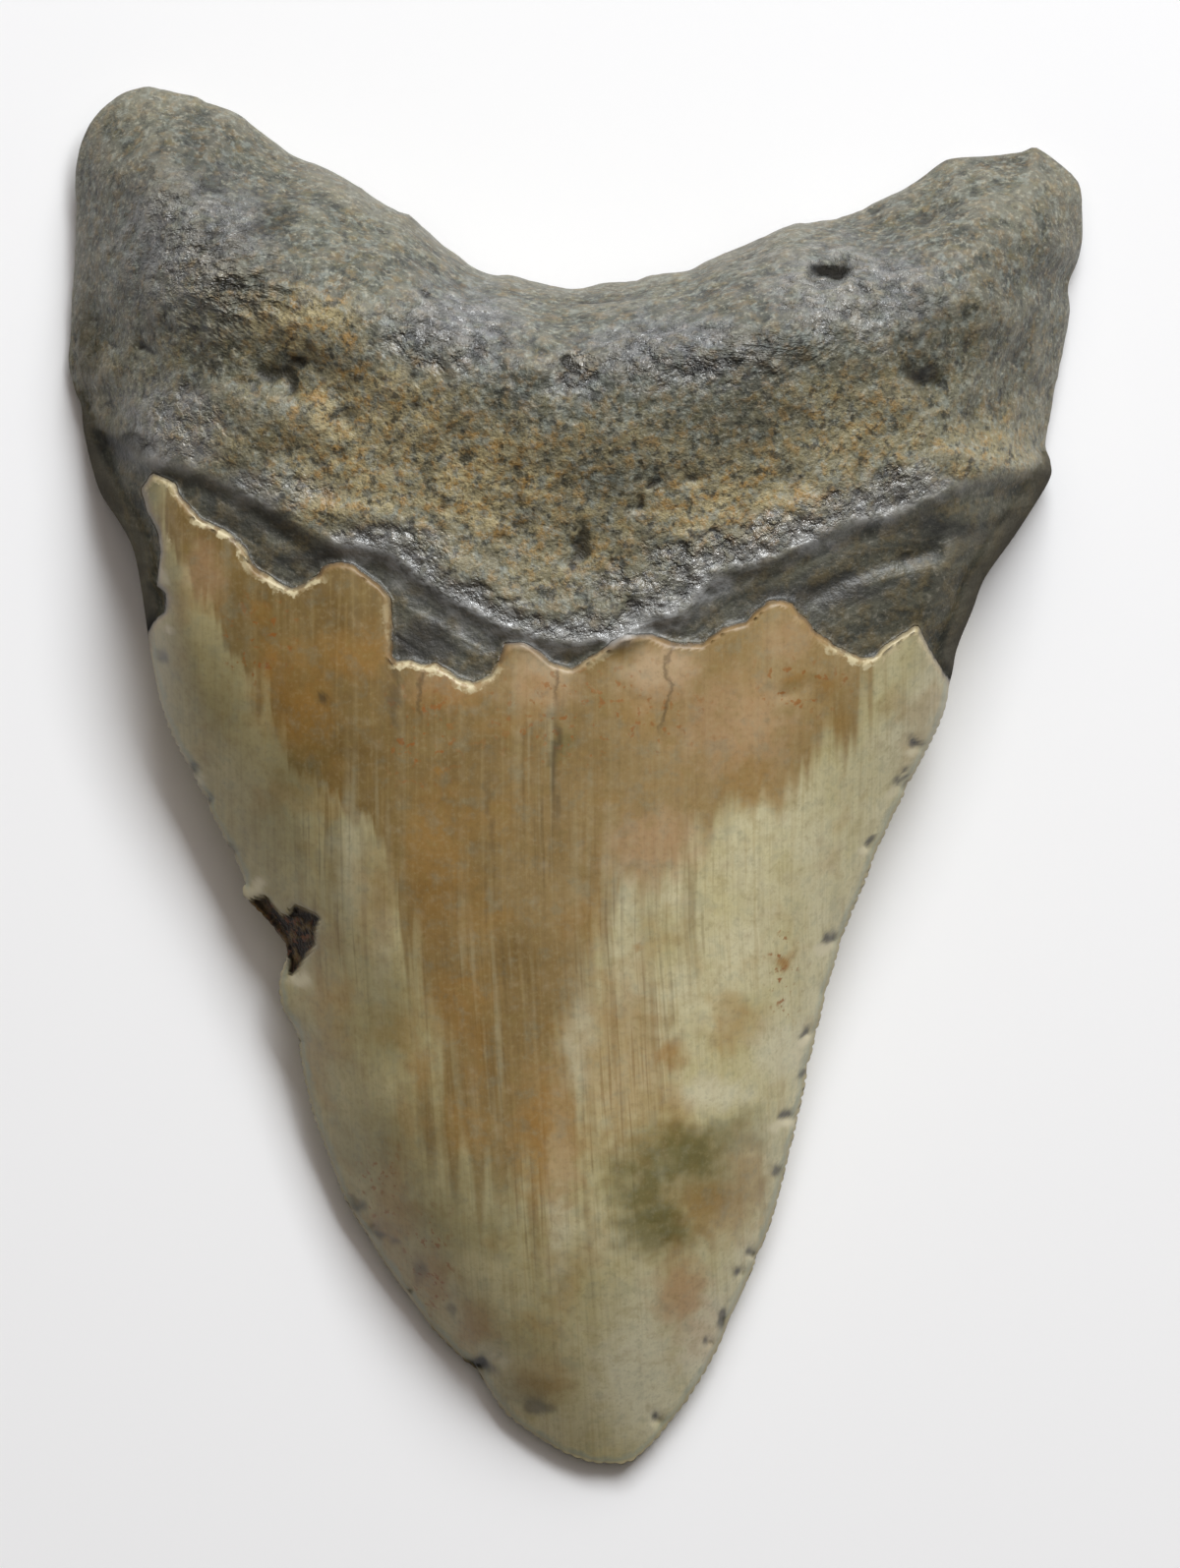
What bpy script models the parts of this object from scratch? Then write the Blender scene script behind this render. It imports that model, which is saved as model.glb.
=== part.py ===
"""A megalodon tooth, lying on its flatter face.

The tooth is one solid with three regions: a thick two-lobed root (+Y end), a dark neck band,
and a triangular enamelled blade that ends in a blunt tip (-Y end).
Units are metres. +Z is up, the outline lies in the XY plane, and Z = 0 is what the tooth rests on.

The plan is drawn in drawing units, measured from the middle of the tooth's bounding box.
A four-sided net of lines is stretched over that plan. A front height and a back height are
worked out at every crossing, and the two sheets share the vertices of the outline.
"""
import bpy
import numpy as np

for left_over in list(bpy.data.objects):
    bpy.data.objects.remove(left_over)

# ---------------------------------------------------------------- driving dimensions, metres
TOOTH_LENGTH = 0.1283       # tip of the blade to the top of the longer root lobe
BLADE_HEIGHT = 0.0220       # top of the enamel at the neck, above the table
ROOT_HEIGHT = 0.0222        # general height of the root, before its crest
CREST_RISE = 0.0052         # crest that runs from lobe to lobe, above the root
LIP_RISE = 0.0013           # rolled lip between root and neck band
ENAMEL_STEP = 0.0011        # broken edge of the enamel, above the neck band
BACK_ENAMEL_STEP = 0.0006   # the same edge on the flat face
SERRATION_DEPTH = 0.00018   # worn serrations along both cutting edges
FLAT_FACE_REACH = 0.0095    # how far the root's underside rounds in from the outline
LUMP_HEIGHT = 0.0006        # gentle unevenness of the root

# ---------------------------------------------------------------- counts
SERRATIONS_ALONG_BLADE = 76
SERRATIONS_AROUND_TIP = 44
RIM_STEPS_BLADE = 2 * SERRATIONS_ALONG_BLADE
RIM_STEPS_ROOT = 120
RIM_STEPS_ACROSS = 4 * SERRATIONS_AROUND_TIP
FRONT_STRIDE = 2            # one net line for every second vertex of the outline
BACK_STRIDE = 8
SNAP_REACH = 0.45           # crossings nearer than this to the enamel's edge are moved onto it
NET_ROUNDS = 300            # rounds of evening out the net
LINES_NEAR_RIM = 4          # net lines on each side that are drawn closer to the outline
RIM_SAMPLE = 4              # distances to the outline go by every fourth of its vertices
TRIANGLE_SHARE = 0.35       # triangles kept by the Decimate modifier inside the outline
SHARP_ANGLE = 0.6           # radians between faces that makes their edge sharp

# ---------------------------------------------------------------- the drawing
DRAWING_LENGTH = 139.5      # the tooth's length in drawing units
UNIT = TOOTH_LENGTH / DRAWING_LENGTH

# Clockwise from the tip: left cutting edge, left lobe, the hollow between the lobes,
# right lobe, right cutting edge. Drawing units.
OUTLINE = [
    (3.5, -69.8), (1.3, -69.6), (-1.4, -68.5), (-4.2, -66.9), (-7.0, -64.6), (-8.8, -62.1),
    (-10.2, -60.2), (-13.4, -57.2), (-16.2, -53.8), (-18.7, -50.3), (-21.0, -46.6),
    (-23.4, -42.5), (-25.2, -37.8), (-26.6, -33.7), (-27.5, -29.8), (-28.2, -25.9),
    (-29.6, -23.4), (-29.8, -20.4), (-29.0, -17.6), (-30.5, -15.3), (-32.2, -13.4),
    (-33.6, -11.9), (-33.3, -10.7), (-34.5, -8.1), (-36.6, -3.9), (-38.3, -0.3),
    (-40.0, 2.9), (-41.7, 6.9), (-42.9, 12.0), (-43.6, 16.5), (-44.3, 20.8), (-45.0, 23.4),
    (-46.4, 25.9), (-48.1, 28.5), (-49.1, 31.5), (-49.9, 35.0), (-50.1, 37.6), (-50.8, 39.2),
    (-51.5, 42.2), (-51.2, 46.0), (-50.9, 51.5), (-50.6, 56.9), (-50.7, 61.0), (-50.0, 64.6),
    (-48.5, 67.0), (-46.5, 68.6), (-44.5, 69.4), (-43.0, 69.7), (-40.5, 69.2), (-38.4, 68.7),
    (-37.2, 68.0), (-34.5, 67.2), (-32.5, 65.7), (-30.5, 64.2), (-28.5, 62.8), (-25.5, 61.7),
    (-22.5, 60.1), (-18.5, 57.3), (-16.4, 56.3), (-12.5, 53.0), (-10.5, 51.5), (-8.4, 50.7),
    (-6.6, 50.6), (-4.5, 50.0), (-0.7, 49.2), (1.5, 49.4), (5.5, 49.9), (7.5, 50.5),
    (11.3, 51.2), (13.5, 52.3), (17.5, 53.8), (21.5, 55.7), (24.6, 56.0), (28.5, 57.0),
    (31.6, 58.5), (34.1, 60.0), (36.7, 61.9), (38.1, 62.6), (41.5, 62.8), (45.0, 63.2),
    (46.2, 63.7), (47.2, 63.5), (49.5, 61.7), (50.9, 60.1), (51.4, 57.1), (51.3, 53.1),
    (50.4, 50.7), (50.1, 49.3), (50.2, 46.7), (49.5, 43.2), (48.8, 40.4), (48.3, 36.4),
    (47.7, 33.5), (48.2, 31.7), (48.0, 29.8), (45.0, 25.0), (42.8, 21.9), (41.3, 19.6),
    (40.2, 16.6), (38.7, 13.0), (38.2, 10.6), (37.8, 9.0), (37.4, 6.8), (35.6, 2.8),
    (33.6, -1.0), (30.7, -6.9), (29.0, -11.1), (27.3, -15.3), (25.6, -21.0), (23.6, -29.1),
    (21.9, -36.9), (19.9, -44.8), (17.5, -51.0), (15.9, -54.7), (14.0, -58.8), (11.5, -63.0),
    (8.7, -66.7), (6.2, -69.2), (4.8, -69.8),
]

# Where one side of the net ends and the next begins, clockwise like the outline.
TIP_LEFT = (-16.2, -53.8)
NECK_LEFT = (-42.9, 12.0)
LOBE_LEFT = (-48.5, 67.0)
LOBE_RIGHT = (50.9, 60.1)
NECK_RIGHT = (37.8, 9.0)
TIP_RIGHT = (15.9, -54.7)

# Broken edge of the enamel on the front, from the left cutting edge to the right one.
ENAMEL_EDGE = [
    (-60.0, 11.5), (-42.9, 12.0), (-42.8, 14.3), (-42.1, 15.3), (-40.9, 16.2), (-40.7, 18.4),
    (-41.7, 19.3), (-41.2, 22.3), (-41.5, 24.4), (-42.6, 26.5), (-43.2, 28.7), (-42.4, 29.9),
    (-40.5, 29.1), (-39.8, 27.6), (-37.7, 25.3), (-34.7, 23.9), (-33.5, 22.7), (-32.8, 21.2),
    (-32.2, 20.2), (-30.9, 19.6), (-29.5, 18.7), (-28.4, 18.3), (-26.9, 18.8), (-25.4, 19.8),
    (-25.0, 20.6), (-23.7, 20.9), (-22.3, 20.7), (-21.2, 19.8), (-19.7, 18.7), (-18.9, 17.7),
    (-18.7, 15.1), (-18.7, 12.0), (-18.3, 10.9), (-16.5, 11.1), (-15.3, 10.6), (-14.0, 10.7),
    (-12.7, 10.0), (-11.7, 9.2), (-10.1, 8.8), (-8.2, 9.7), (-7.2, 11.4), (-6.8, 12.7),
    (-5.3, 12.9), (-3.8, 12.0), (-2.4, 10.8), (-0.3, 10.2), (1.5, 11.4), (3.5, 12.6),
    (4.9, 13.5), (7.5, 13.7), (9.7, 12.8), (13.0, 12.7), (13.8, 13.6), (15.0, 14.4),
    (17.4, 15.0), (18.0, 15.8), (19.5, 17.0), (20.7, 17.1), (21.5, 16.8), (22.1, 15.9),
    (23.2, 15.0), (23.7, 14.0), (25.0, 13.3), (25.7, 12.6), (28.7, 11.3), (30.1, 11.5),
    (31.5, 12.8), (34.2, 14.5), (34.7, 13.5), (36.2, 11.0), (37.8, 9.0), (60.0, 8.5),
]

# Lip between the root and the dark neck band, left to right.
LIP_LINE = [
    (-52.0, 36.5), (-47.5, 35.5), (-43.5, 32.3), (-38.5, 31.0), (-34.5, 29.3), (-31.0, 27.5),
    (-25.5, 24.0), (-22.0, 23.4), (-18.5, 22.5), (-15.5, 20.2), (-12.0, 18.0), (-9.5, 16.5),
    (-6.5, 15.0), (-2.0, 13.8), (2.0, 13.8), (5.0, 14.2), (7.5, 16.2), (10.5, 16.8),
    (13.0, 19.5), (16.5, 21.0), (19.5, 21.7), (22.5, 23.3), (27.5, 25.5), (31.5, 26.5),
    (35.0, 27.8), (41.0, 30.0), (52.0, 31.5),
]

# Crest of the root, from the left lobe to the right lobe.
CREST_LINE = [
    (-43.0, 58.0), (-39.0, 53.5), (-32.5, 49.5), (-23.5, 46.0), (-15.5, 43.0), (-8.5, 40.5),
    (-0.5, 38.8), (6.5, 39.5), (16.5, 42.5), (26.5, 45.5), (33.5, 49.5), (41.5, 53.5),
    (46.0, 56.5),
]

# Smaller ridges of the front: points of the ridge, rise and half-width in metres.
RIDGES = [
    ([(-47.0, 40.0), (-41.0, 37.0), (-34.0, 36.0), (-27.0, 35.0)], 0.0008, 0.0030),
    ([(-44.0, 43.5), (-37.0, 43.5), (-30.0, 40.5), (-24.0, 38.5)], -0.0010, 0.0030),
    ([(-15.8, 16.7), (-12.6, 13.8), (-10.6, 12.6), (-8.2, 11.7)], 0.0004, 0.0006),
    ([(31.2, 55.3), (36.1, 56.8), (41.0, 58.8), (45.8, 60.2)], -0.0004, 0.0007),
    ([(33.5, 21.8), (39.0, 24.8), (44.0, 25.5)], -0.0008, 0.0012),
]

# Pits and swellings of the front: x, y in drawing units, radius and rise in metres.
SPOTS = [
    (-36.4, 59.2, 0.0016, -0.0009), (-39.6, 56.0, 0.0015, -0.0008),
    (-36.2, 53.6, 0.0014, -0.0007), (-33.7, 47.7, 0.0018, -0.0009),
    (-43.1, 42.7, 0.0012, -0.0009), (-26.9, 41.5, 0.0014, -0.0010),
    (-30.0, 39.8, 0.0020, -0.0012), (-14.6, 48.0, 0.0012, -0.0006),
    (-8.7, 42.7, 0.0014, -0.0007), (-0.4, 41.0, 0.0013, -0.0012),
    (7.6, 29.0, 0.0009, -0.0008), (11.1, 29.8, 0.0009, -0.0008),
    (6.4, 27.0, 0.0010, -0.0007), (-5.9, 24.6, 0.0010, -0.0007),
    (0.6, 22.8, 0.0011, -0.0008), (10.2, 18.8, 0.0012, -0.0009),
    (5.5, 16.4, 0.0010, -0.0008), (21.7, 29.3, 0.0010, -0.0006),
    (25.7, 50.2, 0.0016, -0.0022), (28.7, 48.1, 0.0008, -0.0008),
    (34.9, 40.6, 0.0026, -0.0010), (32.5, 27.5, 0.0013, -0.0007),
    (-38.0, 55.0, 0.0090, 0.0012), (41.0, 48.0, 0.0080, 0.0008),
    (0.0, 29.0, 0.0110, -0.0008), (-28.7, -15.2, 0.0016, -0.0013),
    (-31.3, -13.2, 0.0010, -0.0008), (-9.4, -59.7, 0.0009, -0.0006),
]

# Heights along the middle of the tooth: y in drawing units, height as a share of BLADE_HEIGHT.
BLADE_SPINE = [(-70, 0.55), (-60, 0.58), (-50, 0.63), (-40, 0.69), (-30, 0.75), (-20, 0.82),
               (-10, 0.89), (0, 0.95), (10, 0.99), (20, 1.00), (45, 1.00), (70, 1.00)]
# Height of the outline above the table: y in drawing units, metres.
RIM_HEIGHT = [(-70, 0.0020), (-60, 0.0021), (-50, 0.0025), (-40, 0.0034), (-30, 0.0046),
              (-20, 0.0059), (-10, 0.0068), (0, 0.0070), (10, 0.0060), (20, 0.0040),
              (30, 0.0024), (40, 0.0017), (50, 0.0017), (60, 0.0024), (70, 0.0040)]
NOTCH_RIM_RISE = 0.0030     # the outline is this much higher between the lobes

# How the regions run into each other, drawing units.
NOTCH_HALF_WIDTH = 17.0
NOTCH_FROM = 34.0
NOTCH_TO = 48.0
ROOT_FROM = -4.0            # the blade's lens section turns into the root's here
ROOT_TO = 24.0
SHOULDER_AT_BLADE = 5.0     # how far the front rounds in from the outline
SHOULDER_AT_ROOT = 9.5
SHOULDER_AT_LOBES = 15.0
SIDE_BLEND = 3.0            # power that blends the distances to the root's three sides
NEAREST = 0.001             # shortest distance that is told apart
SHOULDER_FROM = 20.0        # the blade's shoulder turns into the root's here
SHOULDER_TO = 40.0
LOBE_FROM = 18.0            # the lobes begin this far from the middle, and are whole at LOBE_TO
LOBE_TO = 38.0
LOBE_FOOT_FROM = 22.0       # and they rise out of the neck here
LOBE_FOOT_TO = 40.0
LOBE_END_FROM = 44.0        # they fall away towards their ends from here
LOBE_END_TO = 68.0
CREST_TO_LOBES = 6.5        # half-width of the crest on its upper side
CREST_TO_BLADE = 13.0       # and on its lower side
LIP_TO_ROOT = 3.2           # half-width of the lip on its upper side
LIP_TO_BLADE = 1.3
HALF_WIDTH = 50.0           # from the middle of the tooth to the side of a lobe
EDGE_FADE = 2.0             # relief starts this far in from the outline
ENAMEL_CHAMFER = 0.9        # width of the enamel's broken edge
LUMP_SIZES = [(7.0, 1.0), (3.2, 0.5)]    # size of the unevenness, and its share
LUMPS_FROM = 24.0           # the unevenness begins above the neck band
LUMPS_TO = 36.0
BACK_ENAMEL_MIDDLE = 25.0   # y of the enamel's edge on the flat face, in the middle
BACK_ENAMEL_DROP = 15.0     # and how much lower it is at the sides
BACK_BAND_FROM = 4.0        # the step in the flat face runs out from here, over this width
BACK_BAND_WIDTH = 9.0

# Shape of the two sections, no units.
TIP_SHARE = 0.28            # the blade thins over this share of the net's height
LENS_POWER = 2.8            # 2 is a parabola
FLAT_SHARE = 0.25           # how soon the underside of the blade leaves the table
HOLLOW_POWER = 1.3
CREST_FALL = 0.45           # the crest is lower by this share at the sides
LOBE_FALL = 0.34            # and so is the root
LOBE_END_FALL = 0.16        # and lower again by this share at the ends of the lobes
LOBE_ROUNDING = 0.15        # share of a round section in the lobes' gently sloping sides
STEP_AT_OUTLINE = 0.25      # share of the enamel's step that is left at the outline


# ---------------------------------------------------------------- curves
def smooth_curve(points, closed=False, steps=12):
    """A Catmull-Rom curve through the points, as an array of many points."""
    p = np.array(points, float)
    if closed:
        before, start, end, after = np.roll(p, 1, 0), p, np.roll(p, -1, 0), np.roll(p, -2, 0)
    else:
        padded = np.vstack([2 * p[0] - p[1], p, 2 * p[-1] - p[-2]])
        before, start, end, after = padded[:-3], padded[1:-2], padded[2:-1], padded[3:]
    t = (np.arange(steps) / steps)[None, :, None]
    before, start, end, after = (a[:, None, :] for a in (before, start, end, after))
    curve = 0.5 * (2 * start + (end - before) * t
                   + (2 * before - 5 * start + 4 * end - after) * t ** 2
                   + (3 * start - before - 3 * end + after) * t ** 3)
    curve = curve.reshape(-1, 2)
    return curve if closed else np.vstack([curve, p[-1]])


def spaced(curve, count):
    """The curve again, as count + 1 points at equal steps along its length."""
    run = np.concatenate([[0], np.cumsum(np.linalg.norm(np.diff(curve, axis=0), axis=1))])
    at = np.linspace(0, run[-1], count + 1)
    return np.column_stack([np.interp(at, run, curve[:, 0]), np.interp(at, run, curve[:, 1])])


def stretch(loop, start, end, count):
    """The part of a closed loop from the point nearest start to the one nearest end."""
    first = np.argmin(np.linalg.norm(loop - np.array(start), axis=1))
    loop = np.roll(loop, -first, axis=0)
    last = np.argmin(np.linalg.norm(loop - np.array(end), axis=1))
    return spaced(loop[:last + 1], count)


def to_curve(points, curve):
    """Each point's distance to a curve, and how far round it lies: +1 straight to the left."""
    start, along = curve[:-1], np.diff(curve, axis=0)
    length = np.maximum((along ** 2).sum(1), 1e-12)
    offset = points[:, None, :] - start[None]
    share = np.clip((offset * along[None]).sum(2) / length[None], 0, 1)
    miss = offset - share[..., None] * along[None]
    distance = np.sqrt((miss ** 2).sum(2))
    nearest = distance.argmin(1)
    pick = np.arange(len(points))
    cross = along[nearest, 0] * miss[pick, nearest, 1] - along[nearest, 1] * miss[pick, nearest, 0]
    gap = distance[pick, nearest]
    return gap, cross / np.maximum(np.sqrt(length[nearest]) * gap, 1e-9)


def blended_distance(points, curves):
    """Distance to several curves at once, with no crease halfway between two of them.

    The distances are added as negative powers, so the nearest one counts most.
    """
    total = sum(np.maximum(to_curve(points, curve)[0], NEAREST) ** -SIDE_BLEND for curve in curves)
    return total ** (-1 / SIDE_BLEND)


def drawn_onto(points, curve, reach):
    """The points, with those closer to a curve than the reach moved onto it."""
    start, along = curve[:-1], np.diff(curve, axis=0)
    gap = points[:, None, :] - start[None]
    share = np.clip((gap * along[None]).sum(2) / (along ** 2).sum(1)[None], 0, 1)
    foot = start[None] + share[..., None] * along[None]
    distance = np.linalg.norm(points[:, None, :] - foot, axis=2)
    nearest = distance.argmin(1)
    pick = np.arange(len(points))
    close = distance[pick, nearest] < reach
    return np.where(close[:, None], foot[pick, nearest], points)


def above(points, curve):
    """Whether each point lies above an open curve that runs from left to right."""
    x, y = points[:, 0, None], points[:, 1, None]
    x0, y0 = curve[:-1, 0], curve[:-1, 1]
    x1, y1 = curve[1:, 0], curve[1:, 1]
    crosses = (x0 <= x) != (x1 <= x)
    height = y0 + (x - x0) * (y1 - y0) / np.where(x1 == x0, 1.0, x1 - x0)
    return ((crosses & (height < y)).sum(1) % 2) == 1


def profile(stations, at):
    """The value at each place, read from a smooth curve through (place, value) stations."""
    curve = smooth_curve(stations)
    return np.interp(at, curve[:, 0], curve[:, 1])


def ease(share):
    """A smooth step from 0 to 1."""
    share = np.clip(share, 0, 1)
    return share * share * (3 - 2 * share)


def between(value, start, end):
    """A smooth step from 0 at the start to 1 at the end."""
    return ease((value - start) / (end - start))


def lumps(points, size, seed):
    """Smooth unevenness between -1 and 1, with lumps of about the given size."""
    table = np.random.default_rng(seed).uniform(-1, 1, (64, 64))
    at = points / size + 300.0
    cell = np.floor(at).astype(int)
    part = ease(at - cell)
    i, j = cell[:, 0] % 64, cell[:, 1] % 64
    i1, j1 = (i + 1) % 64, (j + 1) % 64
    low = table[i, j] * (1 - part[:, 0]) + table[i1, j] * part[:, 0]
    high = table[i, j1] * (1 - part[:, 0]) + table[i1, j1] * part[:, 0]
    return low * (1 - part[:, 1]) + high * part[:, 1]


# ---------------------------------------------------------------- the net over the plan
def outline_sides():
    """The outline as the net's four sides: left, right, tip and top. Drawing units."""
    loop = smooth_curve(OUTLINE, closed=True)
    blade_left = stretch(loop, TIP_LEFT, NECK_LEFT, RIM_STEPS_BLADE)
    root_left = stretch(loop, NECK_LEFT, LOBE_LEFT, RIM_STEPS_ROOT)
    top = stretch(loop, LOBE_LEFT, LOBE_RIGHT, RIM_STEPS_ACROSS)
    root_right = stretch(loop, LOBE_RIGHT, NECK_RIGHT, RIM_STEPS_ROOT)
    blade_right = stretch(loop, NECK_RIGHT, TIP_RIGHT, RIM_STEPS_BLADE)
    tip = stretch(loop, TIP_RIGHT, TIP_LEFT, RIM_STEPS_ACROSS)

    blade_left = serrate(blade_left, SERRATIONS_ALONG_BLADE)
    blade_right = serrate(blade_right, SERRATIONS_ALONG_BLADE)
    tip = serrate(tip, SERRATIONS_AROUND_TIP)[::-1]
    left = np.vstack([blade_left, root_left[1:]])
    right = np.vstack([root_right, blade_right[1:]])[::-1]
    return left, right, tip, top


def serrate(edge, count):
    """Push a cutting edge out and in, count times along its length, fading out at its ends."""
    share = np.linspace(0, 1, len(edge))
    along = np.gradient(edge, axis=0)
    outward = np.column_stack([-along[:, 1], along[:, 0]])
    outward /= np.linalg.norm(outward, axis=1)[:, None]
    depth = SERRATION_DEPTH / UNIT * np.abs(np.sin(np.pi * count * share))
    return edge + outward * depth[:, None] * ease(12 * share * (1 - share))[:, None]


def net(left, right, tip, top):
    """Crossings of the net: a Coons patch between the four sides, evened out, in drawing units.

    After evening out, the lines next to the outline are drawn closer to it, for the rounded edge.
    """
    rows, columns = len(left) - 1, len(tip) - 1
    v = np.linspace(0, 1, rows + 1)[:, None, None]
    u = np.linspace(0, 1, columns + 1)[None, :, None]
    corners = ((1 - u) * (1 - v) * left[0] + u * (1 - v) * right[0]
               + (1 - u) * v * left[-1] + u * v * right[-1])
    grid = ((1 - u) * left[:, None] + u * right[:, None]
            + (1 - v) * tip[None] + v * top[None] - corners)
    for _ in range(NET_ROUNDS):
        grid[1:-1, 1:-1] = 0.25 * (grid[:-2, 1:-1] + grid[2:, 1:-1]
                                   + grid[1:-1, :-2] + grid[1:-1, 2:])
    return grid


def towards_rim(count):
    """Line numbers 0 to count, with the first and last few moved towards the ends."""
    line = np.arange(count + 1, dtype=float)
    near = np.minimum(line, count - line)
    moved = np.where(near < LINES_NEAR_RIM, near ** 2 / LINES_NEAR_RIM, near)
    return np.where(line < count / 2, moved, count - moved)


def at_lines(grid, lines):
    """The grid's rows at fractional row numbers."""
    low = np.minimum(np.floor(lines).astype(int), len(grid) - 2)
    share = (lines - low).reshape(-1, *([1] * (grid.ndim - 1)))
    return grid[low] * (1 - share) + grid[low + 1] * share


# ---------------------------------------------------------------- heights, metres
def rim_height(points):
    """Height of the outline above the table, carried over the whole plan."""
    notch = np.exp(-(points[:, 0] / NOTCH_HALF_WIDTH) ** 2) * between(points[:, 1], NOTCH_FROM, NOTCH_TO)
    return profile(RIM_HEIGHT, points[:, 1]) + NOTCH_RIM_RISE * notch


def inward(u, v):
    """0 on the outline of the blade and 1 along its middle, as a lens section."""
    across = 1 - np.abs(2 * u - 1) ** LENS_POWER
    from_tip = 1 - (1 - np.clip(v / TIP_SHARE, 0, 1)) ** 2
    return across * from_tip


def shoulder(distance, reach):
    """A quarter ellipse: 0 at the outline and 1 at the reach."""
    return np.sqrt(1 - (1 - np.clip(distance / reach, 0, 1)) ** 2)


def root_side(x, y, side_distance):
    """0 at the root's outline and 1 on its top: round at the neck, a gentler slope on the lobes."""
    lobe = between(np.abs(x), LOBE_FROM, LOBE_TO) * between(y, LOBE_FOOT_FROM, LOBE_FOOT_TO)
    reach = SHOULDER_AT_BLADE
    reach = reach + (SHOULDER_AT_ROOT - reach) * between(y, SHOULDER_FROM, SHOULDER_TO)
    reach = reach + (SHOULDER_AT_LOBES - reach) * lobe
    steep = shoulder(side_distance, reach)
    gentle = 1 - (1 - np.clip(side_distance / reach, 0, 1)) ** 2
    return steep + (gentle - steep) * lobe * (1 - LOBE_ROUNDING)


def front_height(points, u, v, rim_distance, side_distance):
    """Height of the front sheet: blade or root, then crest, lip, enamel, ridges and pits."""
    x, y = points[:, 0], points[:, 1]
    rim = rim_height(points)
    blade = rim + (profile(BLADE_SPINE, y) * BLADE_HEIGHT - rim) * inward(u, v)

    crest_gap, crest_side = to_curve(points, smooth_curve(CREST_LINE))
    crest_width = CREST_TO_BLADE + (CREST_TO_LOBES - CREST_TO_BLADE) * (1 + crest_side) / 2
    to_side = (x / HALF_WIDTH) ** 2
    crest = CREST_RISE * np.exp(-(crest_gap / crest_width) ** 2) * (1 - CREST_FALL * to_side)
    lobe_end = LOBE_END_FALL * between(y, LOBE_END_FROM, LOBE_END_TO)
    root = ROOT_HEIGHT * (1 - LOBE_FALL * to_side - lobe_end) + crest
    root = rim + (root - rim) * root_side(x, y, side_distance)
    height = blade + (root - blade) * between(y, ROOT_FROM, ROOT_TO)

    inside = ease(rim_distance / EDGE_FADE)
    lip_curve = smooth_curve(LIP_LINE)
    lip_gap, _ = to_curve(points, lip_curve)
    on_root = above(points, lip_curve)
    lip_width = np.where(on_root, LIP_TO_ROOT, LIP_TO_BLADE)
    height += LIP_RISE * np.exp(-(lip_gap / lip_width) ** 2) * inside

    enamel_curve = np.array(ENAMEL_EDGE)
    enamel_gap, _ = to_curve(points, enamel_curve)
    off_enamel = above(points, enamel_curve)
    bare = ease(np.where(off_enamel, enamel_gap, 0.0) / ENAMEL_CHAMFER)
    band = bare * (1 - ease(np.where(on_root, lip_gap, 0.0) / LIP_TO_ROOT))
    height -= ENAMEL_STEP * band * (STEP_AT_OUTLINE + (1 - STEP_AT_OUTLINE) * inside)

    for line, rise, width in RIDGES:
        gap, _ = to_curve(points, smooth_curve(line))
        height += rise * np.exp(-(gap * UNIT / width) ** 2) * inside
    for spot_x, spot_y, radius, rise in SPOTS:
        gap = np.hypot(x - spot_x, y - spot_y) * UNIT
        height += rise * np.exp(-(gap / radius) ** 2) * ease(2 * rim_distance / EDGE_FADE)
    uneven = LUMP_HEIGHT * between(y, LUMPS_FROM, LUMPS_TO) * inside
    for seed, (size, share) in enumerate(LUMP_SIZES, start=1):
        height += uneven * share * lumps(points, size, seed)
    return height


def back_height(points, u, v, rim_distance, side_distance):
    """Height of the underside: flat in the middle, rising to the outline, with the enamel's edge."""
    x, y = points[:, 0], points[:, 1]
    rim = rim_height(points)
    from_flat = np.clip((1 - inward(u, v)) - FLAT_SHARE, 0, 1) / (1 - FLAT_SHARE)
    blade = rim * from_flat ** HOLLOW_POWER
    root = rim * (1 - shoulder(side_distance, FLAT_FACE_REACH / UNIT))
    height = blade + (root - blade) * between(y, ROOT_FROM, ROOT_TO)
    above_edge = y - BACK_ENAMEL_MIDDLE + BACK_ENAMEL_DROP * (np.abs(x) / HALF_WIDTH) ** 2
    run_out = between(above_edge, BACK_BAND_FROM, BACK_BAND_FROM + BACK_BAND_WIDTH)
    groove = ease(above_edge / ENAMEL_CHAMFER) * (1 - run_out)
    return height + BACK_ENAMEL_STEP * groove * ease(rim_distance / EDGE_FADE)


# ---------------------------------------------------------------- mesh
def sheet(rim_grid, stride, height_of, rim_loop):
    """One face of the tooth, on every stride-th line of the net.

    Its cells next to the outline are fans that use every vertex of the outline.
    """
    rows, columns = rim_grid.shape[0] // stride, rim_grid.shape[1] // stride
    row_lines = towards_rim(rows)
    column_lines = towards_rim(columns)
    coarse = rim_grid[::stride, ::stride]
    plan = at_lines(at_lines(coarse, row_lines).swapaxes(0, 1), column_lines).swapaxes(0, 1)
    u = np.broadcast_to(column_lines / columns, (rows + 1, columns + 1))
    v = np.broadcast_to(row_lines[:, None] / rows, (rows + 1, columns + 1))
    points = drawn_onto(plan[1:-1, 1:-1].reshape(-1, 2), np.array(ENAMEL_EDGE), SNAP_REACH)
    rim_distance, _ = to_curve(points, np.vstack([rim_loop[::RIM_SAMPLE], rim_loop[:1]]))
    side_distance = blended_distance(points, (rim_grid[:, 0], rim_grid[-1], rim_grid[:, -1]))
    height = height_of(points, u[1:-1, 1:-1].ravel(), v[1:-1, 1:-1].ravel(), rim_distance, side_distance)
    return np.column_stack([points * UNIT, height])


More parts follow.
